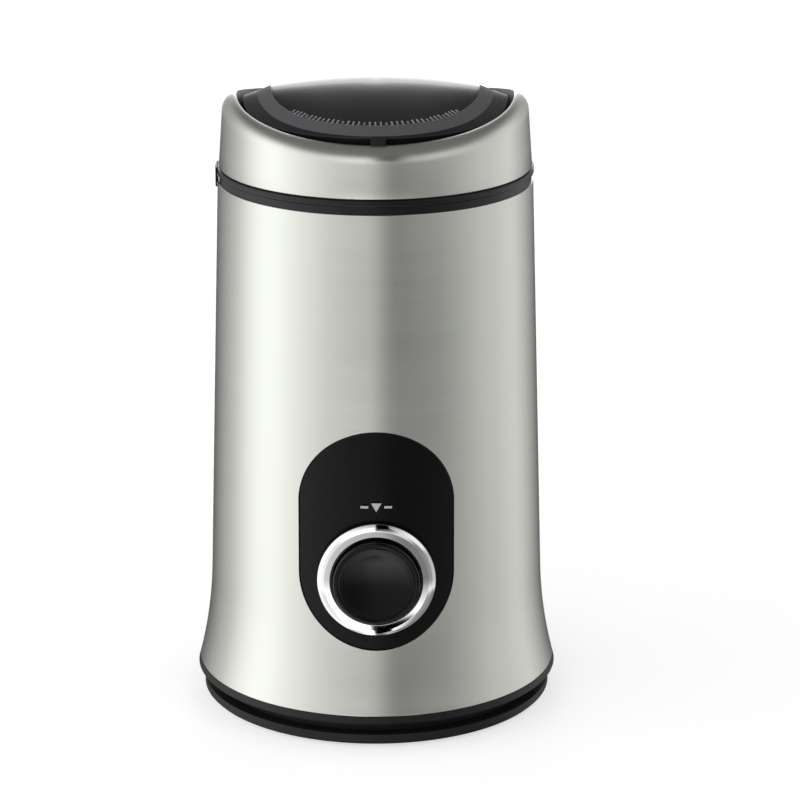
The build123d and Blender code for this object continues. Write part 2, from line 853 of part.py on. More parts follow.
with BuildPart() as button_guide:
    rod(guide_radius, boss_back - guide_plate, boss_back, button_level)
    rod(guide_tube, guide_end, boss_back, button_level)
    rod(plunger_radius + fit_gap, guide_end, boss_back, button_level, mode=Mode.SUBTRACT)
    for side in (-1, 1):
        inner_face = side * (switch_length / 2 + fit_gap)
        outer_face = inner_face + side * arm_thickness
        block(
            sorted((inner_face, outer_face)),
            (-boss_back, -boss_back + arm_reach),
            (button_level - arm_height / 2, button_level + arm_height / 2),
        )

coil = spring(button_spring_radius, cap_inside - boss_back, button_spring_turns, button_spring_wire)
button_spring_place = Plane((0, -boss_back, button_level), z_dir=(0, -1, 0)).location

with BuildPart() as button_spring:
    add(button_spring_place * coil)

# ================================================================== switches and the lid interlock
with BuildPart() as power_switch:
    block(
        (-switch_length / 2, switch_length / 2),
        (-switch_front, -switch_front + switch_depth),
        (button_level - switch_thickness / 2, button_level + switch_thickness / 2),
    )
    fillet(power_switch.edges().filter_by(Axis.Z), switch_round)
    rod(
        switch_plunger + fit_gap,
        switch_front - plunger_sunk,
        switch_front,
        button_level,
        mode=Mode.SUBTRACT,
    )

with BuildPart() as power_switch_plunger:
    rod(
        switch_plunger,
        switch_front - plunger_sunk + switch_travel + fit_gap,
        switch_tip,
        button_level,
    )

with BuildPart() as interlock_switch:
    block(
        (-interlock_outer, -interlock_outer + switch_thickness),
        (-switch_length / 2, switch_length / 2),
        (interlock_top - switch_depth, interlock_top),
    )
    fillet(interlock_switch.edges().filter_by(Axis.X), switch_round)
    with Locations((-pin_offset, 0)):
        disc(pin_radius + fit_gap, interlock_top - plunger_sunk, interlock_top, mode=Mode.SUBTRACT)

with BuildPart() as interlock_plunger:
    with Locations((-pin_offset, 0)):
        disc(pin_radius, interlock_top - plunger_sunk + fit_gap, pin_bottom)

with BuildPart() as interlock_pin:
    with Locations((-pin_offset, 0)):
        disc(pin_radius, pin_bottom, pin_top)
        disc(pin_collar, pin_collar_level, pin_collar_level + pin_radius)

pin_coil = spring(
    pin_radius + interlock_wire, pin_collar_level - bulkhead_top, interlock_turns, interlock_wire
)

with BuildPart() as interlock_spring:
    add(Pos(-pin_offset, 0, bulkhead_top) * pin_coil)

with BuildPart() as switch_terminals:
    with Locations((-terminal_pitch, 0), (0, 0), (terminal_pitch, 0)):
        with Locations((0, -switch_front + switch_depth / 2, button_level - switch_thickness / 2)):
            Box(
                terminal_width,
                terminal_thickness,
                terminal_length,
                align=(Align.CENTER, Align.CENTER, Align.MAX),
            )
    with Locations((0, -terminal_pitch), (0, 0), (0, terminal_pitch)):
        with Locations((switch_thickness / 2 - interlock_outer, 0, interlock_top - switch_depth)):
            Box(
                terminal_thickness,
                terminal_width,
                terminal_length,
                align=(Align.CENTER, Align.CENTER, Align.MAX),
            )

# ================================================================== motor: the part that stands still
coil_window = annular_sector(
    armature_radius, coil_outer + coil_clearance, -coil_window_half, 2 * coil_window_half
)
coil_end = annular_sector(coil_inner, coil_outer, coil_gap_angle, 180 - 2 * coil_gap_angle)
coil_leg = annular_sector(coil_inner, coil_outer, coil_gap_angle, coil_leg_angle)

with BuildPart() as stator_core:
    with BuildSketch(Plane.XY.offset(core_bottom)):
        RectangleRounded(stator_width, stator_depth, stator_corner)
        Circle(bore_radius, mode=Mode.SUBTRACT)
        with PolarLocations(0, 2):
            add(coil_window, mode=Mode.SUBTRACT)
        with GridLocations(2 * bolt_offset, 0, 2, 1):
            Circle(bolt_radius + fit_gap, mode=Mode.SUBTRACT)
    extrude(amount=core_length)

with BuildPart() as field_coils:
    for low in (core_bottom - coil_overhang, core_top + coil_clearance):
        with BuildSketch(Plane.XY.offset(low)):
            with PolarLocations(0, 2):
                add(coil_end)
        extrude(amount=coil_overhang - coil_clearance)
    with BuildSketch(Plane.XY.offset(core_bottom - coil_overhang)):
        with PolarLocations(0, 2):
            add(coil_leg)
            add(mirror(coil_leg, about=Plane.YZ, mode=Mode.PRIVATE))
    extrude(amount=core_length + 2 * coil_overhang)

leg_across = (-leg_size / 2, leg_size / 2)
leg_along = (-arm_width / 2, arm_width / 2)

with BuildPart() as upper_bracket:
    with BuildSketch(Plane.XY.offset(upper_plate_bottom)):
        RectangleRounded(stator_width, upper_plate_width, bolt_head)
    extrude(amount=plate_thickness)
    with GridLocations(2 * bolt_offset, 0, 2, 1):
        block(leg_across, leg_along, (core_top, upper_plate_bottom))
        disc(bolt_radius + fit_gap, core_top, upper_plate_top, mode=Mode.SUBTRACT)
    disc(bush_radius + bush_cup_wall, upper_plate_top, upper_plate_top + bush_height)
    disc(bush_radius, upper_plate_top, upper_plate_top + bush_height, mode=Mode.SUBTRACT)
    disc(washer_radius + moving_gap, upper_plate_bottom, upper_plate_top, mode=Mode.SUBTRACT)
    with GridLocations(2 * mount_offset, 0, 2, 1):
        disc(mount_screw, upper_plate_bottom, upper_plate_top, mode=Mode.SUBTRACT)

with BuildPart() as lower_bracket:
    with BuildSketch(Plane.XY.offset(lower_plate_bottom)):
        Rectangle(stator_width, arm_width)
        Rectangle(arm_width, 2 * holder_end)
        Circle(arm_width)
    extrude(amount=plate_thickness)
    disc(bush_radius + bush_cup_wall, bush_cup_bottom, lower_plate_bottom)
    with GridLocations(2 * bolt_offset, 0, 2, 1):
        block(leg_across, leg_along, (lower_plate_top, core_bottom))
        disc(bolt_radius + fit_gap, lower_plate_bottom, core_bottom, mode=Mode.SUBTRACT)
    disc(bush_radius, lower_bush_bottom, lower_plate_top, mode=Mode.SUBTRACT)
    disc(shaft_radius + moving_gap, bush_cup_bottom, lower_bush_bottom, mode=Mode.SUBTRACT)

with BuildPart() as bearing_bushes:
    for low in (lower_bush_bottom, upper_plate_top):
        disc(bush_radius, low, low + bush_height)
        disc(shaft_radius + running_gap, low, low + bush_height, mode=Mode.SUBTRACT)

with BuildPart() as motor_bolts:
    with GridLocations(2 * bolt_offset, 0, 2, 1):
        disc(bolt_radius, lower_plate_bottom, upper_plate_top)
    for low in (lower_plate_bottom - bolt_head_height, upper_plate_top):
        with BuildSketch(Plane.XY.offset(low)):
            with GridLocations(2 * bolt_offset, 0, 2, 1):
                RegularPolygon(bolt_head, 6)
        extrude(amount=bolt_head_height)

with BuildPart() as motor_mounts:
    with GridLocations(2 * mount_offset, 0, 2, 1):
        disc(mount_radius, upper_plate_top, bulkhead_bottom)
        disc(mount_screw + fit_gap, upper_plate_top, bulkhead_bottom, mode=Mode.SUBTRACT)

with BuildPart() as mount_screws:
    with GridLocations(2 * mount_offset, 0, 2, 1):
        disc(mount_screw, upper_plate_bottom, bulkhead_top)
    with BuildSketch(Plane.XY.offset(bulkhead_top)):
        with GridLocations(2 * mount_offset, 0, 2, 1):
            RegularPolygon(mount_head, 6)
    extrude(amount=mount_head_height)

with BuildPart() as brush_holders:
    with PolarLocations(0, 2, start_angle=90):
        block(
            (holder_start, holder_end),
            (-holder_half, holder_half),
            (lower_plate_top, holder_level + holder_half),
        )
        block(
            (holder_start, holder_end - holder_wall),
            (-brush_slot, brush_slot),
            (holder_level - brush_slot, holder_level + brush_slot),
            mode=Mode.SUBTRACT,
        )

with BuildPart() as carbon_brushes:
    with PolarLocations(0, 2, start_angle=90):
        block(
            (commutator_radius - brush_gap, brush_back),
            (-brush_size / 2, brush_size / 2),
            (holder_level - brush_size / 2, holder_level + brush_size / 2),
        )
    disc(commutator_radius + brush_gap, lower_plate_top, core_bottom, mode=Mode.SUBTRACT)

brush_coil = spring(
    brush_spring_radius,
    holder_end - holder_wall - brush_back,
    brush_spring_turns,
    brush_spring_wire,
)

with BuildPart() as brush_springs:
    for facing in (-1, 1):
        place = Plane((0, facing * brush_back, holder_level), z_dir=(0, facing, 0)).location
        add(place * brush_coil)

with BuildPart() as thermal_cutout:
    with Locations((0, (coil_inner + coil_outer) / 2, core_top + coil_overhang)):
        Box(*cutout_size, align=(Align.CENTER, Align.CENTER, Align.MIN))
    fillet(thermal_cutout.edges().filter_by(Axis.Z), cutout_size[1] / 4)

with BuildPart() as terminal_block:
    with Locations((*terminal_block_place, cover_inside)):
        Box(*terminal_block_size, align=(Align.CENTER, Align.CENTER, Align.MIN))
    with Locations((*terminal_block_place, cover_inside + terminal_block_size[2])):
        with GridLocations(terminal_pitch, 0, 3, 1):
            Box(terminal_width / 2, terminal_width, terminal_width, mode=Mode.SUBTRACT)

with BuildPart() as suppression_capacitor:
    with Locations((*capacitor_place, cover_inside)):
        Box(*capacitor_size, align=(Align.CENTER, Align.CENTER, Align.MIN))
    fillet(suppression_capacitor.edges().filter_by(Axis.Z), switch_round)

# ================================================================== motor: the part that turns
slot_face = annular_sector(slot_floor, slot_top, -slot_angle / 2, slot_angle)
slot_mouth_face = annular_sector(slot_top, bore_radius, -slot_mouth / 2, slot_mouth)
slot_wire = annular_sector(slot_floor, slot_top - fit_gap, -slot_wire_angle / 2, slot_wire_angle)

with BuildPart() as motor_shaft:
    disc(shaft_radius, shaft_bottom, blade_level)
    disc(shaft_thread_radius, blade_level, shaft_top)
    chamfer(motor_shaft.edges().group_by(Axis.Z)[-1], shaft_radius - shaft_thread_radius)

with BuildPart() as armature_core:
    with BuildSketch(Plane.XY.offset(core_bottom)):
        Circle(armature_radius)
        Circle(shaft_radius, mode=Mode.SUBTRACT)
        with PolarLocations(0, slot_count):
            add(slot_face, mode=Mode.SUBTRACT)
            add(slot_mouth_face, mode=Mode.SUBTRACT)
    extrude(amount=core_length)

with BuildPart() as armature_winding:
    with BuildSketch(Plane.XY.offset(core_bottom)):
        with PolarLocations(0, slot_count):
            add(slot_wire)
    extrude(amount=core_length)
    for end, outward in ((core_bottom, -1), (core_top, 1)):
        with BuildSketch(Plane.XZ):
            with BuildLine():
                Polyline(
                    (shaft_radius, end),
                    (winding_radius, end),
                    (winding_radius, end + outward * winding_overhang / 2),
                    (winding_radius - winding_slope, end + outward * winding_overhang),
                    (shaft_radius, end + outward * winding_overhang),
                    close=True,
                )
            make_face()
        revolve(axis=Axis.Z)

with BuildPart() as commutator:
    disc(commutator_radius, commutator_bottom, commutator_top)
    disc(commutator_radius + riser_height, commutator_top - riser_height, commutator_top)
    with PolarLocations(commutator_radius, slot_count):
        with Locations((0, 0, commutator_bottom)):
            Box(
                2 * riser_height,
                commutator_slit,
                commutator_height,
                align=(Align.CENTER, Align.CENTER, Align.MIN),
                mode=Mode.SUBTRACT,
            )
    disc(shaft_radius, commutator_bottom, commutator_top, mode=Mode.SUBTRACT)

with BuildPart() as cooling_fan:
    disc(fan_radius, fan_top - fan_disc, fan_top)
    disc(fan_hub, fan_bottom, fan_top)
    with PolarLocations(0, fan_blades):
        with Locations((fan_hub - root_overlap, 0, fan_bottom)):
            Box(
                fan_radius - fan_hub,
                fan_blade_wall,
                fan_height - fan_disc,
                align=(Align.MIN, Align.CENTER, Align.MIN),
            )
    disc(shaft_radius, fan_bottom, fan_top, mode=Mode.SUBTRACT)

with BuildPart() as thrust_washers:
    for low in (lower_plate_bottom + moving_gap, upper_plate_top - moving_gap - washer_height):
        disc(washer_radius, low, low + washer_height)
        disc(shaft_radius, low, low + washer_height, mode=Mode.SUBTRACT)

with BuildPart() as blade_hub:
    disc(hub_radius, seal_top + moving_gap, blade_level)
    disc(shaft_radius, seal_top + moving_gap, blade_level, mode=Mode.SUBTRACT)

rising_wing = blade_wing(1, blade_rise, blade_twist)
falling_wing = blade_wing(-1, -blade_drop, blade_twist)

with BuildPart() as grinding_blade:
    disc(blade_root, blade_level, blade_level + blade_thickness)
    add(rising_wing)
    add(falling_wing)
    disc(shaft_thread_radius, blade_level, blade_level + blade_thickness, mode=Mode.SUBTRACT)

with BuildPart() as blade_nut:
    with BuildSketch(Plane.XY.offset(nut_bottom)):
        RegularPolygon(nut_radius, 6)
    extrude(amount=nut_height / 2)
    disc(shaft_radius + nut_wall, nut_bottom + nut_height / 2, nut_bottom + nut_height)
    chamfer(blade_nut.edges().sort_by(Axis.Z)[-1], nut_wall)
    disc(shaft_thread_radius, nut_bottom, shaft_top, mode=Mode.SUBTRACT)

# ================================================================== hand over
pieces = {
    "outer_sleeve": outer_sleeve,
    "inner_housing": inner_housing,
    "base_cover": base_cover,
    "rubber_feet": rubber_feet,
    "base_screws": base_screws,
    "cord_gland": cord_gland,
    "top_collar": top_collar,
    "bowl_ring": bowl_ring,
    "grinding_bowl": grinding_bowl,
    "bowl_seal": bowl_seal,
    "shaft_seal": shaft_seal,
    "lid_band": lid_band,
    "lid_window": lid_window,
    "lid_seal": lid_seal,
    "lid_collar": lid_collar,
    "control_panel": control_panel,
    "button_ring": button_ring,
    "button_cap": button_cap,
    "button_plunger": button_plunger,
    "button_guide": button_guide,
    "button_spring": button_spring,
    "power_switch": power_switch,
    "power_switch_plunger": power_switch_plunger,
    "interlock_switch": interlock_switch,
    "interlock_plunger": interlock_plunger,
    "interlock_pin": interlock_pin,
    "interlock_spring": interlock_spring,
    "switch_terminals": switch_terminals,
    "stator_core": stator_core,
    "field_coils": field_coils,
    "upper_bracket": upper_bracket,
    "lower_bracket": lower_bracket,
    "bearing_bushes": bearing_bushes,
    "motor_bolts": motor_bolts,
    "motor_mounts": motor_mounts,
    "mount_screws": mount_screws,
    "brush_holders": brush_holders,
    "carbon_brushes": carbon_brushes,
    "brush_springs": brush_springs,
    "thermal_cutout": thermal_cutout,
    "terminal_block": terminal_block,
    "suppression_capacitor": suppression_capacitor,
    "motor_shaft": motor_shaft,
    "armature_core": armature_core,
    "armature_winding": armature_winding,
    "commutator": commutator,
    "cooling_fan": cooling_fan,
    "thrust_washers": thrust_washers,
    "blade_hub": blade_hub,
    "grinding_blade": grinding_blade,
    "blade_nut": blade_nut,
}

for name, piece in pieces.items():
    piece.part.label = name
    export_step(piece.part, f"parts/{name}.step")
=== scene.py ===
"""Electric spice grinder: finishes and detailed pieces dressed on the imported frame.

Sizes in the classes are millimetres in the frame's axes; meshes are made in metres. The grinder's
axis is the Z axis, the worktop is z = 0 and the button faces -Y.
"""

import json
import logging
import math
from contextlib import contextmanager
from dataclasses import dataclass, field
from enum import Enum
from typing import Callable, Iterable, Iterator, Sequence

import bmesh
import bpy
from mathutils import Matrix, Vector

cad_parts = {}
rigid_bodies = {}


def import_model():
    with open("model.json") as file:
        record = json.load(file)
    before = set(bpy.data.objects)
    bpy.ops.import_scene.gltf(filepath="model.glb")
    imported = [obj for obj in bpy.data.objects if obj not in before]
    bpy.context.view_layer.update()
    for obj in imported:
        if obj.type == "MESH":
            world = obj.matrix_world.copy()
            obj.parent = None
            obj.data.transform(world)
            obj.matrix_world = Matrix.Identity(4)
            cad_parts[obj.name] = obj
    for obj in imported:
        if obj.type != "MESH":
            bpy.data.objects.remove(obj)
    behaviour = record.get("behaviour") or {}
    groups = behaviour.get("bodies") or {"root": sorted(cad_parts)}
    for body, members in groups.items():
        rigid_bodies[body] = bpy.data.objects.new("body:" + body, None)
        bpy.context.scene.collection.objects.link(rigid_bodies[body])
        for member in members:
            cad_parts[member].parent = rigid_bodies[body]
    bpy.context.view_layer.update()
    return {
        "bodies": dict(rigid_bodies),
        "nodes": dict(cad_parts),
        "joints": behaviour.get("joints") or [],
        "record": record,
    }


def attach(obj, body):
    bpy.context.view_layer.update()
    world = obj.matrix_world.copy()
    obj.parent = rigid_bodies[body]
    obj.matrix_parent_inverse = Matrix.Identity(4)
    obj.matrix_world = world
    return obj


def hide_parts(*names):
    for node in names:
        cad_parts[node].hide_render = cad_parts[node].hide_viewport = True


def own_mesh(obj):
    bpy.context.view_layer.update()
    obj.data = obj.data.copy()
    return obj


MM = 0.001
TOUCHING = 1e-7
DOUBLES = 1e-6
DRILL_LENGTH = 30.0
FORWARDS = (math.pi / 2, 0, 0)
log = logging.getLogger("grinder")

Point = tuple[float, float]
Triple = tuple[float, float, float]
Ramp = tuple[tuple[float, float], ...]
Piece = bpy.types.Object
Nodes = bpy.types.Nodes
Links = bpy.types.NodeLinks
Socket = bpy.types.NodeSocket


# ------------------------------------------------------------------ sections and turned shapes
@dataclass(frozen=True)
class Corner:
    """A corner of a section: distance from the turning axis, level, and radius of its rounding."""

    out: float
    up: float
    rounding: float = 0.0


def rounded_section(corners: Sequence[Corner], steps: int = 5) -> list[Point]:
    """Runs through a section's corners and rounds those that ask for it.

    Args:
        corners: The corners in order; the first and the last stay sharp.
        steps: How many short runs each rounding has.

    Returns:
        The section's points in millimetres.
    """
    points: list[Point] = []
    for number, corner in enumerate(corners):
        inner = 0 < number < len(corners) - 1
        if not (inner and corner.rounding):
            points.append((corner.out, corner.up))
            continue
        here = Vector((corner.out, corner.up))
        back = Vector((corners[number - 1].out, corners[number - 1].up)) - here
        ahead = Vector((corners[number + 1].out, corners[number + 1].up)) - here
        half = back.angle(ahead) / 2
        radius = min(corner.rounding, 0.49 * min(back.length, ahead.length) * math.tan(half))
        middle = here + (back.normalized() + ahead.normalized()).normalized() * radius / math.sin(half)
        start = here + back.normalized() * radius / math.tan(half) - middle
        end = here + ahead.normalized() * radius / math.tan(half) - middle
        for step in range(steps + 1):
            spoke = start.normalized().slerp(end.normalized(), step / steps) * radius
            points.append((middle.x + spoke.x, middle.y + spoke.y))
    return points


def deselect_all() -> None:
    """Leaves nothing selected, so that an operator acts on the piece in hand only."""
    bpy.ops.object.select_all(action="DESELECT")


def take(piece: Piece) -> None:
    """Makes a piece the only selected and the active one."""
    deselect_all()
    piece.select_set(True)
    bpy.context.view_layer.objects.active = piece


@contextmanager
def editing(piece: Piece, action: str = "SELECT") -> Iterator[None]:
    """Opens a piece's mesh in edit mode for a while, with all or none of it selected.

    Args:
        piece: The piece.
        action: SELECT or DESELECT.
    """
    take(piece)
    bpy.ops.object.mode_set(mode="EDIT")
    bpy.ops.mesh.select_all(action=action)
    yield
    bpy.ops.object.mode_set(mode="OBJECT")


def named(name: str) -> Piece:
    """Names the new primitive in hand and returns it."""
    piece = bpy.context.object
    piece.name = name
    piece.data.name = name
    return piece


def settle(piece: Piece) -> None:
    """Puts a piece's place, turn and scale into its mesh."""
    take(piece)
    bpy.ops.object.transform_apply(location=True, rotation=True, scale=True)


def smooth(piece: Piece, degrees: float = 32.0) -> None:
    """Shades a piece smooth, with edges sharper than an angle kept crisp."""
    take(piece)
    bpy.ops.object.shade_smooth_by_angle(angle=math.radians(degrees))


def apply_all(piece: Piece) -> None:
    """Applies a piece's modifiers in order."""
    take(piece)
    for modifier in list(piece.modifiers):
        bpy.ops.object.modifier_apply(modifier=modifier.name)


def round_edges(piece: Piece, width: float, segments: int, degrees: float = 30.0) -> None:
    """Rounds a piece's edges.

    Args:
        piece: The piece.
        width: The rounding's width in millimetres.
        segments: Steps of the rounding.
        degrees: Only edges sharper than this are rounded.
    """
    bevel = piece.modifiers.new("edges", "BEVEL")
    bevel.width = width * MM
    bevel.segments = segments
    bevel.limit_method = "ANGLE"
    bevel.angle_limit = math.radians(degrees)
    apply_all(piece)


def face_out() -> None:
    """Turns every face of the mesh in edit mode outwards."""
    bpy.ops.mesh.select_all(action="SELECT")
    bpy.ops.mesh.normals_make_consistent(inside=False)


def extrude_forwards(depth: float) -> None:
    """Extrudes the selected faces to the front, by a depth in millimetres."""
    bpy.ops.mesh.extrude_region_move(TRANSFORM_OT_translate={"value": (0, -depth * MM, 0)})


def block(name: str, size: Triple, place: Triple, turned: Triple = (0, 0, 0), cuts: int = 0) -> Piece:
    """Starts a piece from a block.

    Args:
        name: The piece's name.
        size: Its size in millimetres.
        place: Its middle in millimetres.
        turned: Its turn about the axes in radians.
        cuts: How many cuts divide each edge.

    Returns:
        The block, ready to be shaped.
    """
    deselect_all()
    bpy.ops.mesh.primitive_cube_add(size=1, location=Vector(place) * MM, rotation=turned)
    piece = named(name)
    piece.scale = Vector(size) * MM
    settle(piece)
    if cuts:
        with editing(piece):
            bpy.ops.mesh.subdivide(number_cuts=cuts)
    return piece


def turn(name: str, section: Sequence[Point], segments: int = 192) -> Piece:
    """Turns a section round the Z axis.

    Args:
        name: The piece's name.
        section: Points as (distance from axis, level) in millimetres.
        segments: Steps of the full turn.

    Returns:
        The turned piece, with its normals outwards.
    """
    deselect_all()
    bpy.ops.mesh.primitive_plane_add(size=MM, location=(0, 0, 0))
    piece = named(name)
    with editing(piece):
        bpy.ops.mesh.merge(type="CENTER")
        bpy.ops.transform.translate(value=(section[0][0] * MM, 0, section[0][1] * MM))
        for (out, up), (far, high) in zip(section, section[1:]):
            step = ((far - out) * MM, 0, (high - up) * MM)
            bpy.ops.mesh.extrude_vertices_move(TRANSFORM_OT_translate={"value": step})
        bpy.ops.mesh.select_all(action="SELECT")
        bpy.ops.mesh.spin(
            steps=segments, angle=math.tau, center=(0, 0, 0), axis=(0, 0, 1), use_auto_merge=True
        )
        bpy.ops.mesh.select_all(action="SELECT")
        bpy.ops.mesh.remove_doubles(threshold=DOUBLES)
        face_out()
    return piece


def turn_ring(name: str, corners: Sequence[Corner], segments: int = 192, steps: int = 5) -> Piece:
    """Turns a closed section, whose first corner is kept sharp, round the Z axis."""
    return turn(name, rounded_section([*corners, corners[0]], steps), segments)


def face_forwards(piece: Piece, level: float) -> None:
    """Lays a piece turned round Z so that its top faces the front, at a level in millimetres."""
    piece.rotation_euler = FORWARDS
    piece.location = (0, 0, level * MM)
    settle(piece)


def set_aside(piece: Piece, offset: float) -> None:
    """Moves a piece along the X axis by an offset in millimetres."""
    piece.location = (offset * MM, 0, 0)
    settle(piece)


def reshape(piece: Piece, place: Callable[[Vector], Vector]) -> None:
    """Moves every corner of a piece's mesh to where a rule puts it, in millimetres."""
    with editing(piece):
        mesh = bmesh.from_edit_mesh(piece.data)
        for vertex in mesh.verts:
            vertex.co = place(vertex.co / MM) * MM
        bmesh.update_edit_mesh(piece.data)
        face_out()


def cut(piece: Piece, tool: Piece) -> None:
    """Cuts a tool's shape out of a piece and puts the tool away."""
    modifier = piece.modifiers.new("cut", "BOOLEAN")
    modifier.object = tool
    modifier.operation = "DIFFERENCE"
    modifier.solver = "EXACT"
    apply_all(piece)
    bpy.data.objects.remove(tool)


def drill(
    piece: Piece, radius: float, place: Triple, turned: Triple = (0, 0, 0), steps: int = 32
) -> None:
    """Cuts a round hole into a piece.

    Args:
        piece: The piece.
        radius: The hole's radius in millimetres.
        place: The middle of the drill in millimetres.
        turned: The drill's turn about the axes in radians.
        steps: How many sides the hole has.
    """
    deselect_all()
    bpy.ops.mesh.primitive_cylinder_add(
        vertices=steps,
        radius=radius * MM,
        depth=DRILL_LENGTH * MM,
        location=Vector(place) * MM,
        rotation=turned,
    )
    cut(piece, named("tool"))


def join(name: str, parts: Sequence[Piece]) -> Piece:
    """Makes one piece of several."""
    take(parts[0])
    for part in parts:
        part.select_set(True)
    bpy.ops.object.join()
    return named(name)


def copy_turned(piece: Piece, angles: Iterable[float]) -> list[Piece]:
    """Copies a piece round the Z axis, each copy with its own mesh.

    Args:
        piece: The piece as it stands at angle 0; it is used up.
        angles: The copies' angles in degrees.

    Returns:
        The copies.
    """
    copies = []
    for angle in angles:
        twin = piece.copy()
        twin.data = piece.data.copy()
        bpy.context.scene.collection.objects.link(twin)
        twin.rotation_euler = (0, 0, math.radians(angle))
        settle(twin)
        copies.append(twin)
    bpy.data.objects.remove(piece)
    return copies


def pick(piece: Piece, rule: Callable[[Vector, Vector], bool]) -> list[int]:
    """Finds a piece's faces by their middle and normal.

    Args:
        piece: The piece.
        rule: Says of a face's middle, in millimetres, and its normal whether it is wanted.

    Returns:
        The wanted faces' numbers.
    """
    return [f.index for f in piece.data.polygons if rule(f.center / MM, f.normal)]


def stadium_outline(name: str, width: float, height: float, level: float, half: int = 48) -> Piece:
    """A stadium-shaped face that stands upright at y = 0 and faces the front.

    Args:
        name: The piece's name.
        width: Overall width.
        height: Overall height.
        level: Its middle's level.
        half: Corners on each half circle.

    Returns:
        The outline, filled with one face.
    """
    straight = height - width
    lower = (level - straight / 2) * MM
    deselect_all()
    bpy.ops.mesh.primitive_circle_add(
        vertices=2 * half, radius=width / 2 * MM, location=(0, 0, lower), rotation=FORWARDS
    )
    piece = named(name)
    settle(piece)
    with editing(piece, "DESELECT"):
        mesh = bmesh.from_edit_mesh(piece.data)
        for vertex in mesh.verts:
            vertex.select = vertex.co.z > lower + TOUCHING
        mesh.select_flush_mode()
        bmesh.update_edit_mesh(piece.data)
        bpy.ops.transform.translate(value=(0, 0, straight * MM))
        bpy.ops.mesh.select_all(action="SELECT")
        bpy.ops.mesh.edge_face_add()
    return piece


# ------------------------------------------------------------------ finishes
class Grain(Enum):
    """What a finish's surface texture follows."""

    BRUSHED = "fine lines round the axis"
    MOULDED = "even fine texture of a moulded surface"
    POLISHED = "faint cloudiness of a polished surface"
    LAMINATED = "stacked sheets"
    WOUND = "turns of wire"
    SANDED = "dull, slightly pitted"


COARSER = 0.11
NOISE_SPAN = (0.3, 0.7)
COAT_ROUGHNESS = 0.05
QUARTER_TURN = 0.25


@dataclass(frozen=True)
class Finish:
    """A material: its colour, its gloss and the grain that breaks both up."""

    name: str
    colour: Triple
    roughness: float
    grain: Grain = Grain.MOULDED
    metallic: float = 0.0
    spread: float = 0.08
    gloss_spread: float = 0.05
    depth: float = 0.004
    specular: float = 0.5
    anisotropy: float = 0.0
    coat: float = 0.0
    transmission: float = 0.0
    ior: float = 1.5

    @property
    def scales(self) -> tuple[Vector, float]:
        """The grain's stretch per metre along each axis, and the share of it that is coarse."""
        return {
            Grain.BRUSHED: (Vector((60, 60, 3200)), 0.45),
            Grain.MOULDED: (Vector((2200, 2200, 2200)), 0.25),
            Grain.POLISHED: (Vector((90, 90, 90)), 0.6),
            Grain.LAMINATED: (Vector((8, 8, 1500)), 0.2),
            Grain.WOUND: (Vector((500, 500, 1800)), 0.3),
            Grain.SANDED: (Vector((900, 900, 900)), 0.5),
        }[self.grain]

    def material(self) -> bpy.types.Material:
        """Builds the material once and finds it again after that."""
        title = f"finish_{self.name}"
        found = bpy.data.materials.get(title)
        if found:
            return found
        made = bpy.data.materials.new(title)
        made.use_nodes = True
        nodes, links = made.node_tree.nodes, made.node_tree.links
        shader = nodes["Principled BSDF"]
        for socket, value in (
            ("Metallic", self.metallic),
            ("Specular IOR Level", self.specular),
            ("Anisotropic", self.anisotropy),
            ("Coat Weight", self.coat),
            ("Coat Roughness", COAT_ROUGHNESS),
            ("Transmission Weight", self.transmission),
            ("IOR", self.ior),
        ):
            shader.inputs[socket].default_value = value
        grain = self._grain(nodes, links)
        tint = nodes.new("ShaderNodeMix")
        tint.data_type = "RGBA"
        links.new(grain, tint.inputs["Factor"])
        for end, share in (("A", 1 - self.spread), ("B", 1 + self.spread)):
            tint.inputs[end].default_value = (*(min(1.0, c * share) for c in self.colour), 1)
        links.new(tint.outputs["Result"], shader.inputs["Base Color"])
        gloss = nodes.new("ShaderNodeMapRange")
        gloss.inputs["From Min"].default_value, gloss.inputs["From Max"].default_value = NOISE_SPAN
        gloss.inputs["To Min"].default_value = max(0.01, self.roughness - self.gloss_spread)
        gloss.inputs["To Max"].default_value = min(1.0, self.roughness + self.gloss_spread)
        links.new(grain, gloss.inputs["Value"])
        links.new(gloss.outputs["Result"], shader.inputs["Roughness"])
        relief = nodes.new("ShaderNodeBump")
        relief.inputs["Strength"].default_value = 1.0
        relief.inputs["Distance"].default_value = self.depth * MM
        links.new(grain, relief.inputs["Height"])
        links.new(relief.outputs["Normal"], shader.inputs["Normal"])
        if self.anisotropy:
            tangent = nodes.new("ShaderNodeTangent")
            tangent.direction_type = "RADIAL"
            tangent.axis = "Z"
            shader.inputs["Anisotropic Rotation"].default_value = QUARTER_TURN
            links.new(tangent.outputs["Tangent"], shader.inputs["Tangent"])
        return made

    def _grain(self, nodes: Nodes, links: Links) -> Socket:
        """Adds a fine and a coarse noise on object coordinates and returns their mix."""
        stretch, coarse_share = self.scales
        place = nodes.new("ShaderNodeTexCoord")
        both = nodes.new("ShaderNodeMix")
        both.inputs["Factor"].default_value = coarse_share
        for end, scale, detail in (("A", stretch, 3.0), ("B", stretch * COARSER, 2.0)):
            mapping = nodes.new("ShaderNodeMapping")
            mapping.inputs["Scale"].default_value = scale
            noise = nodes.new("ShaderNodeTexNoise")
            noise.inputs["Scale"].default_value = 1.0
            noise.inputs["Detail"].default_value = detail
            links.new(place.outputs["Object"], mapping.inputs["Vector"])
            links.new(mapping.outputs["Vector"], noise.inputs["Vector"])
            links.new(noise.outputs["Fac"], both.inputs[end])
        return both.outputs["Result"]


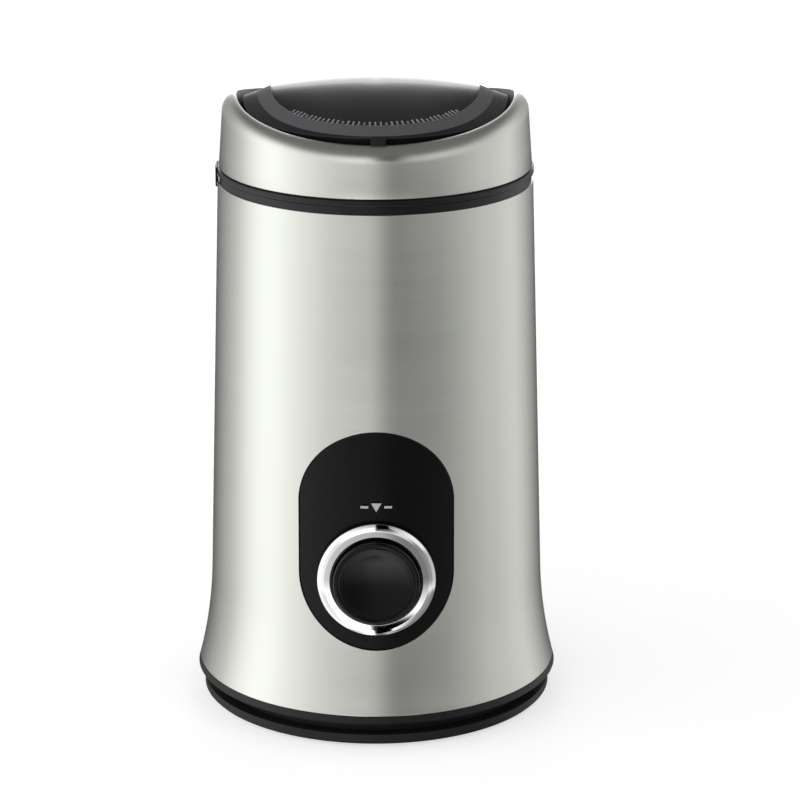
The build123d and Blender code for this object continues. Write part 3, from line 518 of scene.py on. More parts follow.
@dataclass(frozen=True)
class Palette:
    """The finishes that the grinder's pieces are dressed in."""

    brushed_steel: Finish = Finish(
        "brushed_steel", (0.605, 0.62, 0.572), 0.3, Grain.BRUSHED, 1.0, 0.04, 0.03, 0.0015, anisotropy=0.7
    )
    bowl_steel: Finish = Finish(
        "bowl_steel", (0.68, 0.67, 0.66), 0.18, Grain.BRUSHED, 1.0, 0.04, 0.04, 0.001, anisotropy=0.4
    )
    blade_steel: Finish = Finish(
        "blade_steel", (0.66, 0.66, 0.66), 0.24, Grain.POLISHED, 1.0, 0.05, 0.05, 0.002
    )
    bright_chrome: Finish = Finish(
        "bright_chrome", (0.85, 0.85, 0.85), 0.06, Grain.POLISHED, 1.0, 0.02, 0.02, 0.0005
    )
    zinc_steel: Finish = Finish(
        "zinc_steel", (0.6, 0.61, 0.63), 0.35, Grain.SANDED, 1.0, 0.1, 0.08, 0.003
    )
    spring_steel: Finish = Finish(
        "spring_steel", (0.5, 0.5, 0.5), 0.3, Grain.POLISHED, 1.0, 0.1, 0.06, 0.002
    )
    lamination_steel: Finish = Finish(
        "lamination_steel", (0.28, 0.28, 0.3), 0.5, Grain.LAMINATED, 1.0, 0.35, 0.1, 0.02
    )
    winding_copper: Finish = Finish(
        "winding_copper", (0.6, 0.28, 0.14), 0.3, Grain.WOUND, 1.0, 0.3, 0.1, 0.03, coat=0.4
    )
    contact_brass: Finish = Finish(
        "contact_brass", (0.72, 0.55, 0.28), 0.32, Grain.POLISHED, 1.0, 0.08, 0.06, 0.002
    )
    carbon: Finish = Finish("carbon", (0.05, 0.05, 0.05), 0.7, Grain.SANDED, spread=0.25, depth=0.01)
    dark_grey_plastic: Finish = Finish(
        "dark_grey_plastic", (0.008, 0.008, 0.0085), 0.42, Grain.MOULDED, spread=0.12, specular=0.3
    )
    charcoal_plastic: Finish = Finish(
        "charcoal_plastic", (0.014, 0.0145, 0.0145), 0.45, Grain.MOULDED, spread=0.12, specular=0.2
    )
    black_plastic: Finish = Finish(
        "black_plastic", (0.004, 0.004, 0.0042), 0.3, Grain.MOULDED, spread=0.15, specular=0.35
    )
    panel_plastic: Finish = Finish(
        "panel_plastic", (0.0012, 0.0014, 0.0013), 0.25, Grain.MOULDED, spread=0.15, specular=0.2
    )
    gloss_black: Finish = Finish(
        "gloss_black", (0.0012, 0.0013, 0.0013), 0.15, Grain.POLISHED, spread=0.15, depth=0.0006,
        specular=0.24,
    )
    # Painted shade: a near-black matte finish on the window's faces in the groove round it, which darkens
    # the gap between window and steel rim.
    groove_painted_shade: Finish = Finish(
        "groove_painted_shade", (0.004, 0.004, 0.004), 0.5, Grain.MOULDED, spread=0.15, specular=0.1
    )
    white_plastic: Finish = Finish("white_plastic", (0.75, 0.74, 0.7), 0.45, spread=0.04)
    white_print: Finish = Finish("white_print", (0.62, 0.62, 0.62), 0.5, spread=0.06, depth=0.002)
    blue_plastic: Finish = Finish("blue_plastic", (0.1, 0.25, 0.5), 0.4, spread=0.06)
    black_rubber: Finish = Finish(
        "black_rubber", (0.02, 0.02, 0.02), 0.75, Grain.SANDED, spread=0.2, depth=0.02, specular=0.3
    )
    smoked_clear: Finish = Finish(
        "smoked_clear",
        (0.016, 0.016, 0.017),
        0.06,
        Grain.POLISHED,
        spread=0.03,
        gloss_spread=0.01,
        depth=0.0002,
        transmission=0.9,
        ior=1.49,
    )
    frosted_edge: Finish = Finish(
        "frosted_edge", (0.125, 0.129, 0.136), 0.55, Grain.SANDED, spread=0.06, depth=0.004,
        specular=0.3,
    )
    border_edge: Finish = Finish(
        "border_edge", (0.02, 0.021, 0.023), 0.4, Grain.SANDED, spread=0.06, depth=0.002,
        specular=0.25,
    )
    raised_print: Finish = Finish(
        "raised_print", (0.3, 0.305, 0.31), 0.5, Grain.SANDED, spread=0.08, depth=0.002
    )


# ------------------------------------------------------------------ sub-assemblies
@dataclass
class SubAssembly:
    """A group of pieces that are built, dressed and put on their bodies together."""

    palette: Palette
    made: list[Piece] = field(default_factory=list)

    def dress(
        self, piece: Piece, finish: Finish, slot: str, body: str, replaces: Sequence[str] = ()
    ) -> Piece:
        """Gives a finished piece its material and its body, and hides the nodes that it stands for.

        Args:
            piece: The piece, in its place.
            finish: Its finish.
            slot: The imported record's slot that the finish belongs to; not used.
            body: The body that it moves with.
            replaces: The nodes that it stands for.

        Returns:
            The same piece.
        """
        piece.data.materials.clear()
        piece.data.materials.append(finish.material())
        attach(piece, body)
        if replaces:
            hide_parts(*replaces)
        self.made.append(piece)
        return piece

    def build(self) -> list[Piece]:
        """Builds the sub-assembly's pieces and returns them."""
        raise NotImplementedError


@dataclass
class SteelBody(SubAssembly):
    """The brushed sleeve that flares to its foot, and the black collar in its top."""

    foot_level: float = 10.2
    foot_radius: float = 53.6
    waist_level: float = 39.0
    waist_radius: float = 49.6
    shoulder_level: float = 158.0
    shoulder_radius: float = 46.1
    wall: float = 0.8
    flare_steps: int = 14
    panel_width: float = 44.9
    panel_height: float = 65.7
    panel_level: float = 62.3
    opening_reach: float = 70.0
    edge: float = 0.25
    collar_radius: float = 45.6
    collar_top: float = 160.3
    collar_bore: float = 39.4
    collar_pocket: float = 41.0
    bowl_rim: float = 152.8
    ring_top: float = 150.0
    spigot_radius: float = 45.0
    pin_offset: float = 42.3
    pin_hole: float = 1.4
    pin_level: float = 155.0

    def flare(self, inset: float) -> list[Point]:
        """The flare's points from the foot up to the waist, moved inwards by an inset."""
        lean = (self.shoulder_radius - self.waist_radius) / (self.shoulder_level - self.waist_level)
        start = Vector((self.waist_radius, self.waist_level))
        tangent = Vector((lean, 1.0)).normalized()
        chord = Vector((self.foot_radius, self.foot_level)) - start
        normal = Vector((tangent.y, -tangent.x))
        radius = chord.length_squared / (2 * chord.dot(normal))
        middle = start + normal * radius
        first = (start - middle).normalized()
        last = (Vector((self.foot_radius, self.foot_level)) - middle).normalized()
        points = []
        for step in range(self.flare_steps + 1):
            spoke = last.slerp(first, step / self.flare_steps) * radius
            points.append((middle.x + spoke.x - inset, middle.y + spoke.y))
        return points

    def sleeve(self) -> Piece:
        """The steel sleeve, with the opening for the control panel."""
        outer = self.flare(0)
        inner = self.flare(self.wall)[::-1]
        rolled = rounded_section(
            [
                Corner(*inner[-1]),
                Corner(self.foot_radius - self.wall, self.foot_level),
                Corner(self.foot_radius, self.foot_level, self.edge),
                Corner(*outer[1]),
            ]
        )[1:-1]
        lip = rounded_section(
            [
                Corner(*outer[-1]),
                Corner(self.shoulder_radius, self.shoulder_level, self.edge),
                Corner(self.shoulder_radius - self.wall, self.shoulder_level, self.edge),
                Corner(*inner[0]),
            ]
        )[1:-1]
        section = [*rolled, *outer[1:], *lip, *inner[:-1]]
        sleeve = turn("steel_sleeve", [*section, section[0]], 256)
        tool = stadium_outline("tool", self.panel_width, self.panel_height, self.panel_level)
        with editing(tool):
            extrude_forwards(self.opening_reach)
            face_out()
        cut(sleeve, tool)
        smooth(sleeve)
        return sleeve

    def collar(self) -> Piece:
        """The black collar between the sleeve and the lid, with the hole for the interlock's peg."""
        collar = turn_ring(
            "top_collar_ring",
            [
                Corner(self.collar_bore, self.bowl_rim),
                Corner(self.collar_pocket, self.bowl_rim),
                Corner(self.collar_pocket, self.ring_top),
                Corner(self.spigot_radius, self.ring_top, 0.3),
                Corner(self.spigot_radius, self.shoulder_level),
                Corner(self.collar_radius, self.shoulder_level),
                Corner(self.collar_radius, self.collar_top, 0.35),
                Corner(self.collar_bore, self.collar_top, 0.4),
            ],
        )
        drill(collar, self.pin_hole, (-self.pin_offset, 0, self.pin_level))
        smooth(collar)
        return collar

    def build(self) -> list[Piece]:
        """Builds the sleeve and the collar."""
        look = self.palette
        self.dress(self.sleeve(), look.brushed_steel, "brushed_steel", "housing", ["outer_sleeve"])
        self.dress(self.collar(), look.black_plastic, "black_plastic", "housing", ["top_collar"])
        return self.made


@dataclass
class Lid(SubAssembly):
    """The lift-off lid: steel band with a roof-like top, smoked window, collar with its lug."""

    bottom: float = 160.3
    collar_top: float = 162.1
    collar_bore: float = 38.35
    collar_radius: float = 46.2
    collar_wall: float = 1.7
    band_bottom: float = 162.4
    foot_radius: float = 45.7
    taper: float = 0.068
    wall: float = 0.8
    edge: float = 0.22
    ridge_level: float = 183.45
    ridge_fall: float = 0.182
    ridge_round: float = 4.0
    rim_low: float = 176.5
    rim_radius: float = 40.3
    rim_flange: float = 3.5
    shoulder: float = 5.0
    arc_share: float = 0.955
    crest_drops: tuple[Point, ...] = ((0.03, 0.05), (0.0, 0.18))
    window_radius: float = 38.5
    window_edge: tuple[float, float] = (0.12, 0.14)
    frosted_inner: tuple[float, float] = (30.3, 35.0)
    frosted_outer: tuple[float, float] = (34.2, 38.2)
    frosted_drop: tuple[float, float] = (0.8, 1.7)
    bevel_drop: float = 0.45
    dome_top: float = 187.8
    dome_across: float = 170.0
    dome_fall: float = 0.25
    dome_round: tuple[float, float] = (10.5, 3.0)
    window_wall: float = 2.2
    inner_fall: tuple[float, float] = (30.0, 36.0)
    inner_stations: tuple[float, ...] = (32, 27, 22, 17, 12, 7, 3, 0)
    flange_radius: float = 44.3
    flange_top: float = 170.0
    flange_bottom: float = 168.0
    skirt_radius: float = 38.2
    skirt_bottom: float = 153.1
    seal_bottom: float = 155.5
    seal_height: float = 2.4
    seal_depth: float = 0.5
    shadow_radius: float = 45.3
    lug_low: float = 156.5
    lug_inner: float = 46.25
    lug_outer: float = 46.75
    lug_angle: float = 12.0
    peg_offset: float = 42.3
    peg_radius: float = 1.1
    peg_length: float = 3.1
    arc_steps: int = 10
    lift_rounds: int = 12
    touch_rounds: int = 4
    tick_count: int = 37
    tick_reach: float = 47.0
    tick_place: tuple[float, float] = (29.9, 34.2)
    tick_size: Triple = (2.2, 0.5, 0.3)
    short_tick: float = 1.2
    short_every: int = 4
    tick_proud: float = 0.02
    tab_place: float = 0.8
    tab_width: float = 4.3
    tab_proud: float = 2.2
    tab_drop: float = 4.0
    tab_bite: tuple[float, float] = (0.5, 0.2)

    def rim_level(self, y: float) -> float:
        """The level of the steel's rim, highest at the sides and falling to front and back."""
        return self.ridge_level - self.ridge_fall * (math.hypot(y, self.ridge_round) - self.ridge_round)

    def shoulder_arc(self, bearing: float, inset: float) -> tuple[Vector, float, float]:
        """Fits the shoulder's rounding at a bearing round the lid.

        The wall leans in and the rim falls, so the arc that touches both is found in rounds.

        Args:
            bearing: The angle from the X axis in radians.
            inset: How far inside the band's outer face.

        Returns:
            The arc's middle, its radius and the angle at which it meets the rim.
        """
        radius = self.shoulder - inset
        lean = math.hypot(1, self.taper)
        sine = math.sin(bearing)
        level = self.rim_low - radius
        for _ in range(self.lift_rounds):
            out = self.foot_radius - inset - self.taper * (level - self.band_bottom) - radius * lean
            touch = out
            for _ in range(self.touch_rounds):
                fall = self.ridge_fall * touch * sine**2
                slope = -fall / math.hypot(touch * sine, self.ridge_round)
                touch = out - radius * slope / math.hypot(1, slope)
            top = self.rim_level(touch * sine) - inset * math.hypot(1, slope)
            level = top - radius / math.hypot(1, slope)
        reach = (self.rim_radius + inset - out) / radius
        return Vector((out, level)), radius, math.acos(min(1.0, max(-1.0, reach)))

    @staticmethod
    def arc(middle: Vector, radius: float, start: float, end: float, steps: int) -> list[Point]:
        """The points of an arc from one angle to another, both in radians."""
        angles = [start + (end - start) * step / steps for step in range(steps + 1)]
        return [(middle.x + radius * math.cos(a), middle.y + radius * math.sin(a)) for a in angles]

    def band_section(self, bearing: float) -> list[Point]:
        """The band's closed section at a bearing, always with the same number of points."""
        lean = math.atan(self.taper)
        foot, low = self.foot_radius, self.band_bottom
        points = self.arc(Vector((foot - self.edge, low + self.edge)), self.edge, -math.pi / 2, 0, 3)
        middle, radius, end = self.shoulder_arc(bearing, 0)
        wall_top = middle + radius * Vector((math.cos(lean), math.sin(lean)))
        for share in (0.33, 0.66):
            points.append((foot + share * (wall_top.x - foot), low + share * (wall_top.y - low)))
        points += self.arc(middle, radius, lean, lean + (end - lean) * self.arc_share, self.arc_steps)
        crest = middle.y + radius * math.sin(end)
        points += [(self.rim_radius + out, crest - down) for out, down in self.crest_drops]
        flange = self.rim_low - self.rim_flange
        points += [(self.rim_radius, flange), (self.rim_radius + self.wall, flange)]
        middle, radius, end = self.shoulder_arc(bearing, self.wall)
        points += self.arc(middle, radius, end, lean, self.arc_steps)
        points += [(foot - self.wall, low), points[0]]
        return points

    def dome(self, x: float, y: float, inset: float = 0.0) -> float:
        """The level of the window's dome over a place, moved inwards by an inset."""
        share = min(1.0, abs(x) / self.window_radius) ** 2
        ridge = self.dome_round[0] + share * (self.dome_round[1] - self.dome_round[0])
        level = self.dome_top - x * x / (2 * self.dome_across)
        return level - self.dome_fall * (math.hypot(y, ridge) - ridge) - inset

    @staticmethod
    def oval(axes: tuple[float, float], bearing: float) -> float:
        """The distance from the axis to an oval with the given half axes, at a bearing."""
        return 1 / math.hypot(math.cos(bearing) / axes[0], math.sin(bearing) / axes[1])

    def window_level(self, bearing: float, out: float) -> float:
        """The level of the window's outer face, with its frosted band and the ring round it."""
        inner = self.oval(self.frosted_inner, bearing)
        outer = self.oval(self.frosted_outer, bearing)
        base = self.dome(out * math.cos(bearing), out * math.sin(bearing))
        if out <= inner:
            return base
        side, front = self.frosted_drop
        drop = side + (front - side) * math.sin(bearing) ** 2
        if out <= outer:
            return base - drop * (out - inner) / (outer - inner)
        return base - drop - self.bevel_drop * (out - outer) / (self.window_radius - outer)

    def window_section(self, bearing: float) -> list[Point]:
        """The window's section at a bearing, from the dome's top round to its inside."""
        cos, sin = math.cos(bearing), math.sin(bearing)
        inner = self.oval(self.frosted_inner, bearing)
        outer = self.oval(self.frosted_outer, bearing)
        edge_width, edge_drop = self.window_edge
        rounded = self.window_radius - edge_width
        stations = [inner * share for share in (0, 0.12, 0.26, 0.4, 0.54, 0.68, 0.8, 0.9, 0.97, 1)]
        stations += [inner + (outer - inner) * share for share in (0.04, 0.35, 0.67, 0.96, 1)]
        stations += [outer + (rounded - outer) * share for share in (0.1, 0.5, 0.97)]
        points = [(out, self.window_level(bearing, out)) for out in stations]
        points += [
            (self.window_radius, self.window_level(bearing, self.window_radius) - edge_drop),
            (self.window_radius, self.flange_top),
            (self.flange_radius, self.flange_top),
            (self.flange_radius, self.flange_bottom),
            (self.skirt_radius, self.flange_bottom),
            (self.skirt_radius, self.seal_bottom + self.seal_height),
            (self.skirt_radius - self.seal_depth, self.seal_bottom + self.seal_height),
            (self.skirt_radius - self.seal_depth, self.seal_bottom),
            (self.skirt_radius, self.seal_bottom),
            (self.skirt_radius, self.skirt_bottom + 0.4),
            (self.skirt_radius - 0.4, self.skirt_bottom),
            (self.skirt_radius - self.window_wall, self.skirt_bottom),
        ]
        bore = self.skirt_radius - self.window_wall
        points += [
            (out, self.dome(out * cos, out * sin, self.window_wall) - self.inner_drop(out))
            for out in (bore, *self.inner_stations)
        ]
        return points

    def inner_drop(self, out: float) -> float:
        """How far the window's inside falls below the dome's line near its wall."""
        start, end = self.inner_fall
        return max(0.0, (out - start) / (end - start)) ** 2 * (self.frosted_drop[1] + self.bevel_drop)

    def fitted(
        self, name: str, section: Callable[[float], list[Point]], segments: int, degrees: float
    ) -> Piece:
        """Turns a lid piece whose section changes with its bearing.

        Args:
            name: The piece's name.
            section: Gives the section at a bearing.
            segments: Steps of the full turn.
            degrees: Edges sharper than this stay crisp.

        Returns:
            The piece.
        """
        template = section(math.pi / 2)
        piece = turn(name, template, segments)
        known = {
            round(math.degrees(step * math.tau / segments), 2) % 360: section(step * math.tau / segments)
            for step in range(segments)
        }

        def place(spot: Vector) -> Vector:
            """Puts a corner on the section at its own bearing."""
            out = math.hypot(spot.x, spot.y)
            number = min(
                range(len(template)),
                key=lambda n: (template[n][0] - out) ** 2 + (template[n][1] - spot.z) ** 2,
            )
            bearing = math.degrees(math.atan2(spot.y, spot.x)) % 360
            nearest = min(known, key=lambda b: min(abs(b - bearing), 360 - abs(b - bearing)))
            far, up = known[nearest][number]
            turnby = math.radians(nearest)
            return Vector((far * math.cos(turnby), far * math.sin(turnby), up))

        reshape(piece, place)
        smooth(piece, degrees)
        return piece

    def collar(self) -> Piece:
        """The lid's collar, its lug over the sleeve and the peg that works the interlock."""
        ring = turn_ring(
            "lid_collar_ring",
            [
                Corner(self.collar_bore, self.bottom),
                Corner(self.collar_radius, self.bottom, 0.3),
                Corner(self.collar_radius, self.collar_top, 0.3),
                Corner(self.shadow_radius, self.collar_top),
                Corner(self.shadow_radius, self.band_bottom),
                Corner(self.flange_radius, self.band_bottom),
                Corner(self.flange_radius, self.flange_bottom, 0.3),
                Corner(self.flange_radius - self.collar_wall, self.flange_bottom),
                Corner(self.flange_radius - self.collar_wall, self.collar_top),
                Corner(self.collar_bore, self.collar_top),
            ],
        )
        smooth(ring)
        return join("lid_collar_ring", [ring, self.lug(), self.peg()])

    def lug(self) -> Piece:
        """The small lug that hangs over the sleeve on the left."""
        thick = self.lug_outer - self.lug_inner
        wide = self.lug_outer * math.radians(self.lug_angle)
        tall = self.collar_top - self.lug_low
        place = (-(self.lug_outer + self.lug_inner) / 2, 0, (self.collar_top + self.lug_low) / 2)
        lug = block("lug", (thick, wide, tall), place, cuts=3)

        def bend(spot: Vector) -> Vector:
            """Bends the lug's plate round the sleeve."""
            angle = spot.y / self.lug_outer
            return Vector((spot.x * math.cos(angle), -spot.x * math.sin(angle), spot.z))

        reshape(lug, bend)
        round_edges(lug, 0.25, 3)
        smooth(lug)
        return lug

    def peg(self) -> Piece:
        """The peg under the collar that reaches the interlock."""
        peg = turn(
            "peg",
            rounded_section(
                [
                    Corner(0, self.bottom - self.peg_length),
                    Corner(self.peg_radius, self.bottom - self.peg_length, 0.3),
                    Corner(self.peg_radius, self.bottom + 0.2),
                    Corner(0, self.bottom + 0.2),
                ]
            ),
            32,
        )
        set_aside(peg, -self.peg_offset)
        smooth(peg)
        return peg

    def ticks(self) -> Piece:
        """A row of small plain ticks on the front of the window, along its frosted band."""
        marks = []
        long, wide, thick = self.tick_size
        for number in range(self.tick_count):
            bearing = math.radians(-90 + self.tick_reach * (2 * number / (self.tick_count - 1) - 1))
            out = self.oval(self.tick_place, bearing)
            x, y = out * math.cos(bearing), out * math.sin(bearing)
            slope = math.atan2(self.dome(x * 1.02, y * 1.02) - self.dome(x, y), out * 0.02)
            marks.append(
                block(
                    "tick",
                    (long if number % self.short_every else self.short_tick, wide, thick),
                    (x, y, self.window_level(bearing, out) + self.tick_proud),
                    (0, -slope, bearing),
                    cuts=1,
                )
            )
        row = join("window_ticks", marks)
        round_edges(row, 0.08, 2)
        smooth(row)
        return row

    def tab(self) -> Piece:
        """The small tab that bridges the groove between window and steel at the front."""
        gap = self.rim_radius - self.window_radius
        low, high = self.rim_low - self.tab_drop, self.rim_low + self.tab_proud
        longer, shift = self.tab_bite
        place = (self.tab_place, shift - self.window_radius - gap / 2, (high + low) / 2)
        tab = block("rim_tab", (self.tab_width, gap + longer, high - low), place, cuts=2)
        round_edges(tab, 0.2, 3)
        smooth(tab)
        return tab

    def build(self) -> list[Piece]:
        """Builds the band, the window, the collar, the ticks and the tab."""
        look = self.palette
        band = self.fitted("lid_steel_band", self.band_section, 240, 40)
        self.dress(band, look.brushed_steel, "brushed_steel", "lid", ["lid_band"])
        window = self.fitted("smoked_window", self.window_section, 192, 12)
        self.dress(window, look.smoked_clear, "smoked_clear", "lid", ["lid_window"])
        for finish, rule in (
            (look.frosted_edge, self.on_frosted_band),
            (look.border_edge, self.on_border),
            # Painted shade: the window's faces in the groove get the near-black matte finish.
            (look.groove_painted_shade, self.in_groove),
        ):
            window.data.materials.append(finish.material())
            for number in pick(window, rule):
                window.data.polygons[number].material_index = len(window.data.materials) - 1
        self.dress(self.collar(), look.black_plastic, "black_plastic", "lid", ["lid_collar"])
        self.dress(self.ticks(), look.raised_print, "smoked_clear", "lid")
        self.dress(self.tab(), look.charcoal_plastic, "black_plastic", "lid")
        return self.made

    def on_frosted_band(self, spot: Vector, normal: Vector) -> bool:
        """Says whether a face of the window is part of the frosted band."""
        bearing = math.atan2(spot.y, spot.x)
        out = math.hypot(spot.x, spot.y)
        inner, outer = self.oval(self.frosted_inner, bearing), self.oval(self.frosted_outer, bearing)
        return inner < out < outer and normal.z > 0.3 and spot.z > self.rim_low

    def on_border(self, spot: Vector, normal: Vector) -> bool:
        """Says whether a face of the window lies outside its frosted band."""
        outer = self.oval(self.frosted_outer, math.atan2(spot.y, spot.x))
        return math.hypot(spot.x, spot.y) > outer and normal.z > 0.3 and spot.z > self.rim_low

    def in_groove(self, spot: Vector, normal: Vector) -> bool:
        """Says whether a face of the window is in the groove round it, where shade is painted."""
        out = math.hypot(spot.x, spot.y)
        return out > self.window_radius - 0.05 and spot.z > self.flange_bottom + 0.1


@dataclass
class ControlPanel(SubAssembly):
    """The black panel let into the sleeve, its button boss, chrome ring and push button."""

    width: float = 44.6
    height: float = 65.4
    level: float = 62.3
    proud: float = 0.5
    depth: float = 1.5
    edge: float = 0.35
    edge_steps: int = 5
    strips: int = 36
    button_level: float = 51.2
    boss_radius: float = 17.25
    boss_front: float = 49.9
    boss_hole: float = 13.3
    boss_back: float = 43.3
    boss_web: float = 2.8
    boss_floor: float = 0.5
    boss_room: float = 0.6
    plate_gap: float = 1.0
    ring_outer: float = 17.0
    ring_inner: float = 12.85
    ring_height: float = 1.5
    ring_crest: float = 1.2
    cap_radius: float = 12.5
    cap_front: float = 54.05
    cap_back: float = 46.3
    cap_flange: float = 14.6
    cap_flange_height: float = 1.2
    cap_wall: float = 1.5
    cap_depth: float = 3.0
    dish_radius: float = 11.0
    dish_depth: float = 1.0
    waist_level: float = 39.0
    waist_radius: float = 49.6
    shoulder_level: float = 158.0
    shoulder_radius: float = 46.1
    mark_level: float = 73.0
    arrow_radius: float = 1.736
    arrow_lift: float = 0.3
    dash_offset: float = 3.4
    dash_size: tuple[float, float] = (2.2, 0.7)
    print_height: float = 0.06
    print_sunk: float = 0.01

    def steel_radius(self, level: float) -> float:
        """The sleeve's radius at a level above its flare, carried on below it."""
        share = (self.shoulder_level - level) / (self.shoulder_level - self.waist_level)
        return self.shoulder_radius + share * (self.waist_radius - self.shoulder_radius)

    def wrap(self, spot: Vector) -> Vector:
        """Lays a flat place, whose y is its depth under the face, on the tapered body."""
        face = self.steel_radius(spot.z) + self.proud - spot.y
        return Vector((spot.x, -math.sqrt(max(1.0, face * face - spot.x * spot.x)), spot.z))

    def plate(self) -> Piece:
        """The panel's plate, with a rounded edge and a hole for the boss."""
        plate = stadium_outline("control_plate", self.width, self.height, self.level)
        with editing(plate):
            bpy.ops.transform.translate(value=(0, self.depth * MM, 0))
            extrude_forwards(self.depth - self.edge)
            for step in range(self.edge_steps):
                low = math.pi / 2 * step / self.edge_steps
                high = math.pi / 2 * (step + 1) / self.edge_steps
                bpy.ops.mesh.inset(
                    thickness=self.edge * (math.cos(low) - math.cos(high)) * MM,
                    depth=self.edge * (math.sin(high) - math.sin(low)) * MM,
                )
            for number in range(1, self.strips):
                side = (number / self.strips - 0.5) * self.width
                bpy.ops.mesh.select_all(action="SELECT")
                bpy.ops.mesh.bisect(plane_co=(side * MM, 0, 0), plane_no=(1, 0, 0))
        reshape(plate, self.wrap)
        drill(plate, self.boss_hole + self.plate_gap, (0, -50, self.button_level), FORWARDS, 96)
        smooth(plate)
        evened = plate.modifiers.new("evened", "WEIGHTED_NORMAL")
        evened.keep_sharp = True
        apply_all(plate)
        return plate

    def boss(self) -> Piece:
        """The flat boss that carries the ring and guides the button."""
        room = self.cap_flange + self.boss_room
        boss = turn_ring(
            "button_boss",
            [
                Corner(self.boss_hole, self.boss_back),
                Corner(self.boss_radius, self.boss_back),
                Corner(self.boss_radius, self.boss_front, 0.35),
                Corner(self.boss_hole, self.boss_front, 0.25),
                Corner(self.boss_hole, self.boss_front - self.boss_web),
                Corner(room, self.boss_front - self.boss_web),
                Corner(room, self.boss_back + self.boss_floor),
                Corner(self.boss_hole, self.boss_back + self.boss_floor),
            ],
            144,
        )
        face_forwards(boss, self.button_level)
        smooth(boss)
        return boss

    def ring(self) -> Piece:
        """The bright ring round the button: a face that slopes outwards and a bevel inside it."""
        front = self.boss_front
        points = rounded_section(
            [
                Corner(self.ring_inner, front),
                Corner(self.ring_outer, front),
                Corner(self.ring_outer, front + 0.25, 0.15),
                Corner(self.ring_outer - 0.9, front + 0.82, 1.2),
                Corner(self.ring_outer - 1.9, front + self.ring_crest, 1.8),
                Corner(self.ring_inner + 0.65, front + self.ring_height, 0.12),
                Corner(self.ring_inner, front + self.ring_height - 0.35, 0.1),
                Corner(self.ring_inner, front),
            ],
            6,
        )
        ring = turn("chrome_ring", points, 192)
        face_forwards(ring, self.button_level)
        smooth(ring, 25)
        return ring

    def cap(self) -> Piece:
        """The push button: rounded rim, thin groove inside it and a shallow dish."""
        front = self.cap_front
        section = rounded_section(
            [
                Corner(0, front - self.cap_depth),
                Corner(self.cap_radius - self.cap_wall, front - self.cap_depth),
                Corner(self.cap_radius - self.cap_wall, self.cap_back),
                Corner(self.cap_flange, self.cap_back, 0.2),
                Corner(self.cap_flange, self.cap_back + self.cap_flange_height, 0.2),
                Corner(self.cap_radius, self.cap_back + self.cap_flange_height),
                Corner(self.cap_radius, front, 0.85),
                Corner(self.dish_radius + 0.35, front, 0.3),
                Corner(self.dish_radius + 0.1, front - 0.35, 0.12),
                Corner(self.dish_radius - 0.25, front - 0.12, 0.2),
            ],
            6,
        )
        lowest = section[-1]
        for share in (0.9, 0.8, 0.65, 0.5, 0.35, 0.2, 0.1, 0.0):
            out = (self.dish_radius - 0.3) * share
            drop = self.dish_depth * (1 - share * share)
            section.append((out, min(lowest[1], front - drop)))
        cap = turn("push_button", section, 144)
        face_forwards(cap, self.button_level)
        smooth(cap, 30)
        return cap

    def mark(self) -> Piece:
        """The printed mark over the button: a small triangle that points down, and two dashes."""
        deselect_all()
        bpy.ops.mesh.primitive_circle_add(
            vertices=3,
            radius=self.arrow_radius * MM,
            fill_type="NGON",
            location=(0, 0, (self.mark_level + self.arrow_lift) * MM),
            rotation=(-math.pi / 2, 0, 0),
        )
        parts = [named("arrow")]
        settle(parts[0])
        for side in (-self.dash_offset, self.dash_offset):
            deselect_all()
            bpy.ops.mesh.primitive_plane_add(
                size=1, location=(side * MM, 0, self.mark_level * MM), rotation=FORWARDS
            )
            dash = named("dash")
            dash.scale = (self.dash_size[0] * MM, self.dash_size[1] * MM, 1)
            settle(dash)
            with editing(dash):
                bpy.ops.mesh.subdivide(number_cuts=4)
            parts.append(dash)
        mark = join("printed_mark", parts)
        with editing(mark):
            extrude_forwards(self.print_height)
        reshape(mark, lambda s: self.wrap(Vector((s.x, s.y + self.print_sunk, s.z))))
        smooth(mark)
        return mark

    def build(self) -> list[Piece]:
        """Builds the panel, the ring, the button and the mark."""
        look = self.palette
        panel = join("control_plate", [self.plate(), self.boss()])
        self.dress(panel, look.panel_plastic, "black_plastic", "housing", ["control_panel"])
        self.dress(self.ring(), look.bright_chrome, "bright_chrome", "housing", ["button_ring"])
        self.dress(self.cap(), look.gloss_black, "gloss_black", "button", ["button_cap"])
        self.dress(self.mark(), look.white_print, "white_plastic", "housing")
        return self.made


@dataclass
class ButtonSpring(SubAssembly):
    """The coil behind the push button, which the button presses as it goes in."""

    back: float = 43.0
    front: float = 51.0
    level: float = 51.2
    radius: float = 7.6
    wire: float = 1.0
    turns: int = 4
    turn_steps: int = 48
    travel: float = 3.0

    def coil(self) -> Piece:
        """The wire's round section, wound round the button's line and closed at both ends."""
        deselect_all()
        bpy.ops.mesh.primitive_circle_add(
            vertices=16,
            radius=self.wire / 2 * MM,
            location=(self.radius * MM, 0, (self.back + self.wire / 2) * MM),
            rotation=FORWARDS,
        )
        coil = named("button_coil")
        settle(coil)
        winding = coil.modifiers.new("winding", "SCREW")
        winding.axis = "Z"
        winding.angle = math.tau
        winding.steps = self.turn_steps
        winding.iterations = self.turns
        winding.screw_offset = (self.front - self.back - self.wire) / self.turns * MM
        apply_all(coil)
        with editing(coil):
            bpy.ops.mesh.fill_holes(sides=0)
            face_out()
        face_forwards(coil, self.level)
        smooth(coil, 50)
        return coil

    def build(self) -> list[Piece]:
        """Builds the coil and gives it a mesh of its own."""
        steel = self.palette.spring_steel
        coil = self.dress(self.coil(), steel, "spring_steel", "housing", ["button_spring"])
        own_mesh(coil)
        return self.made


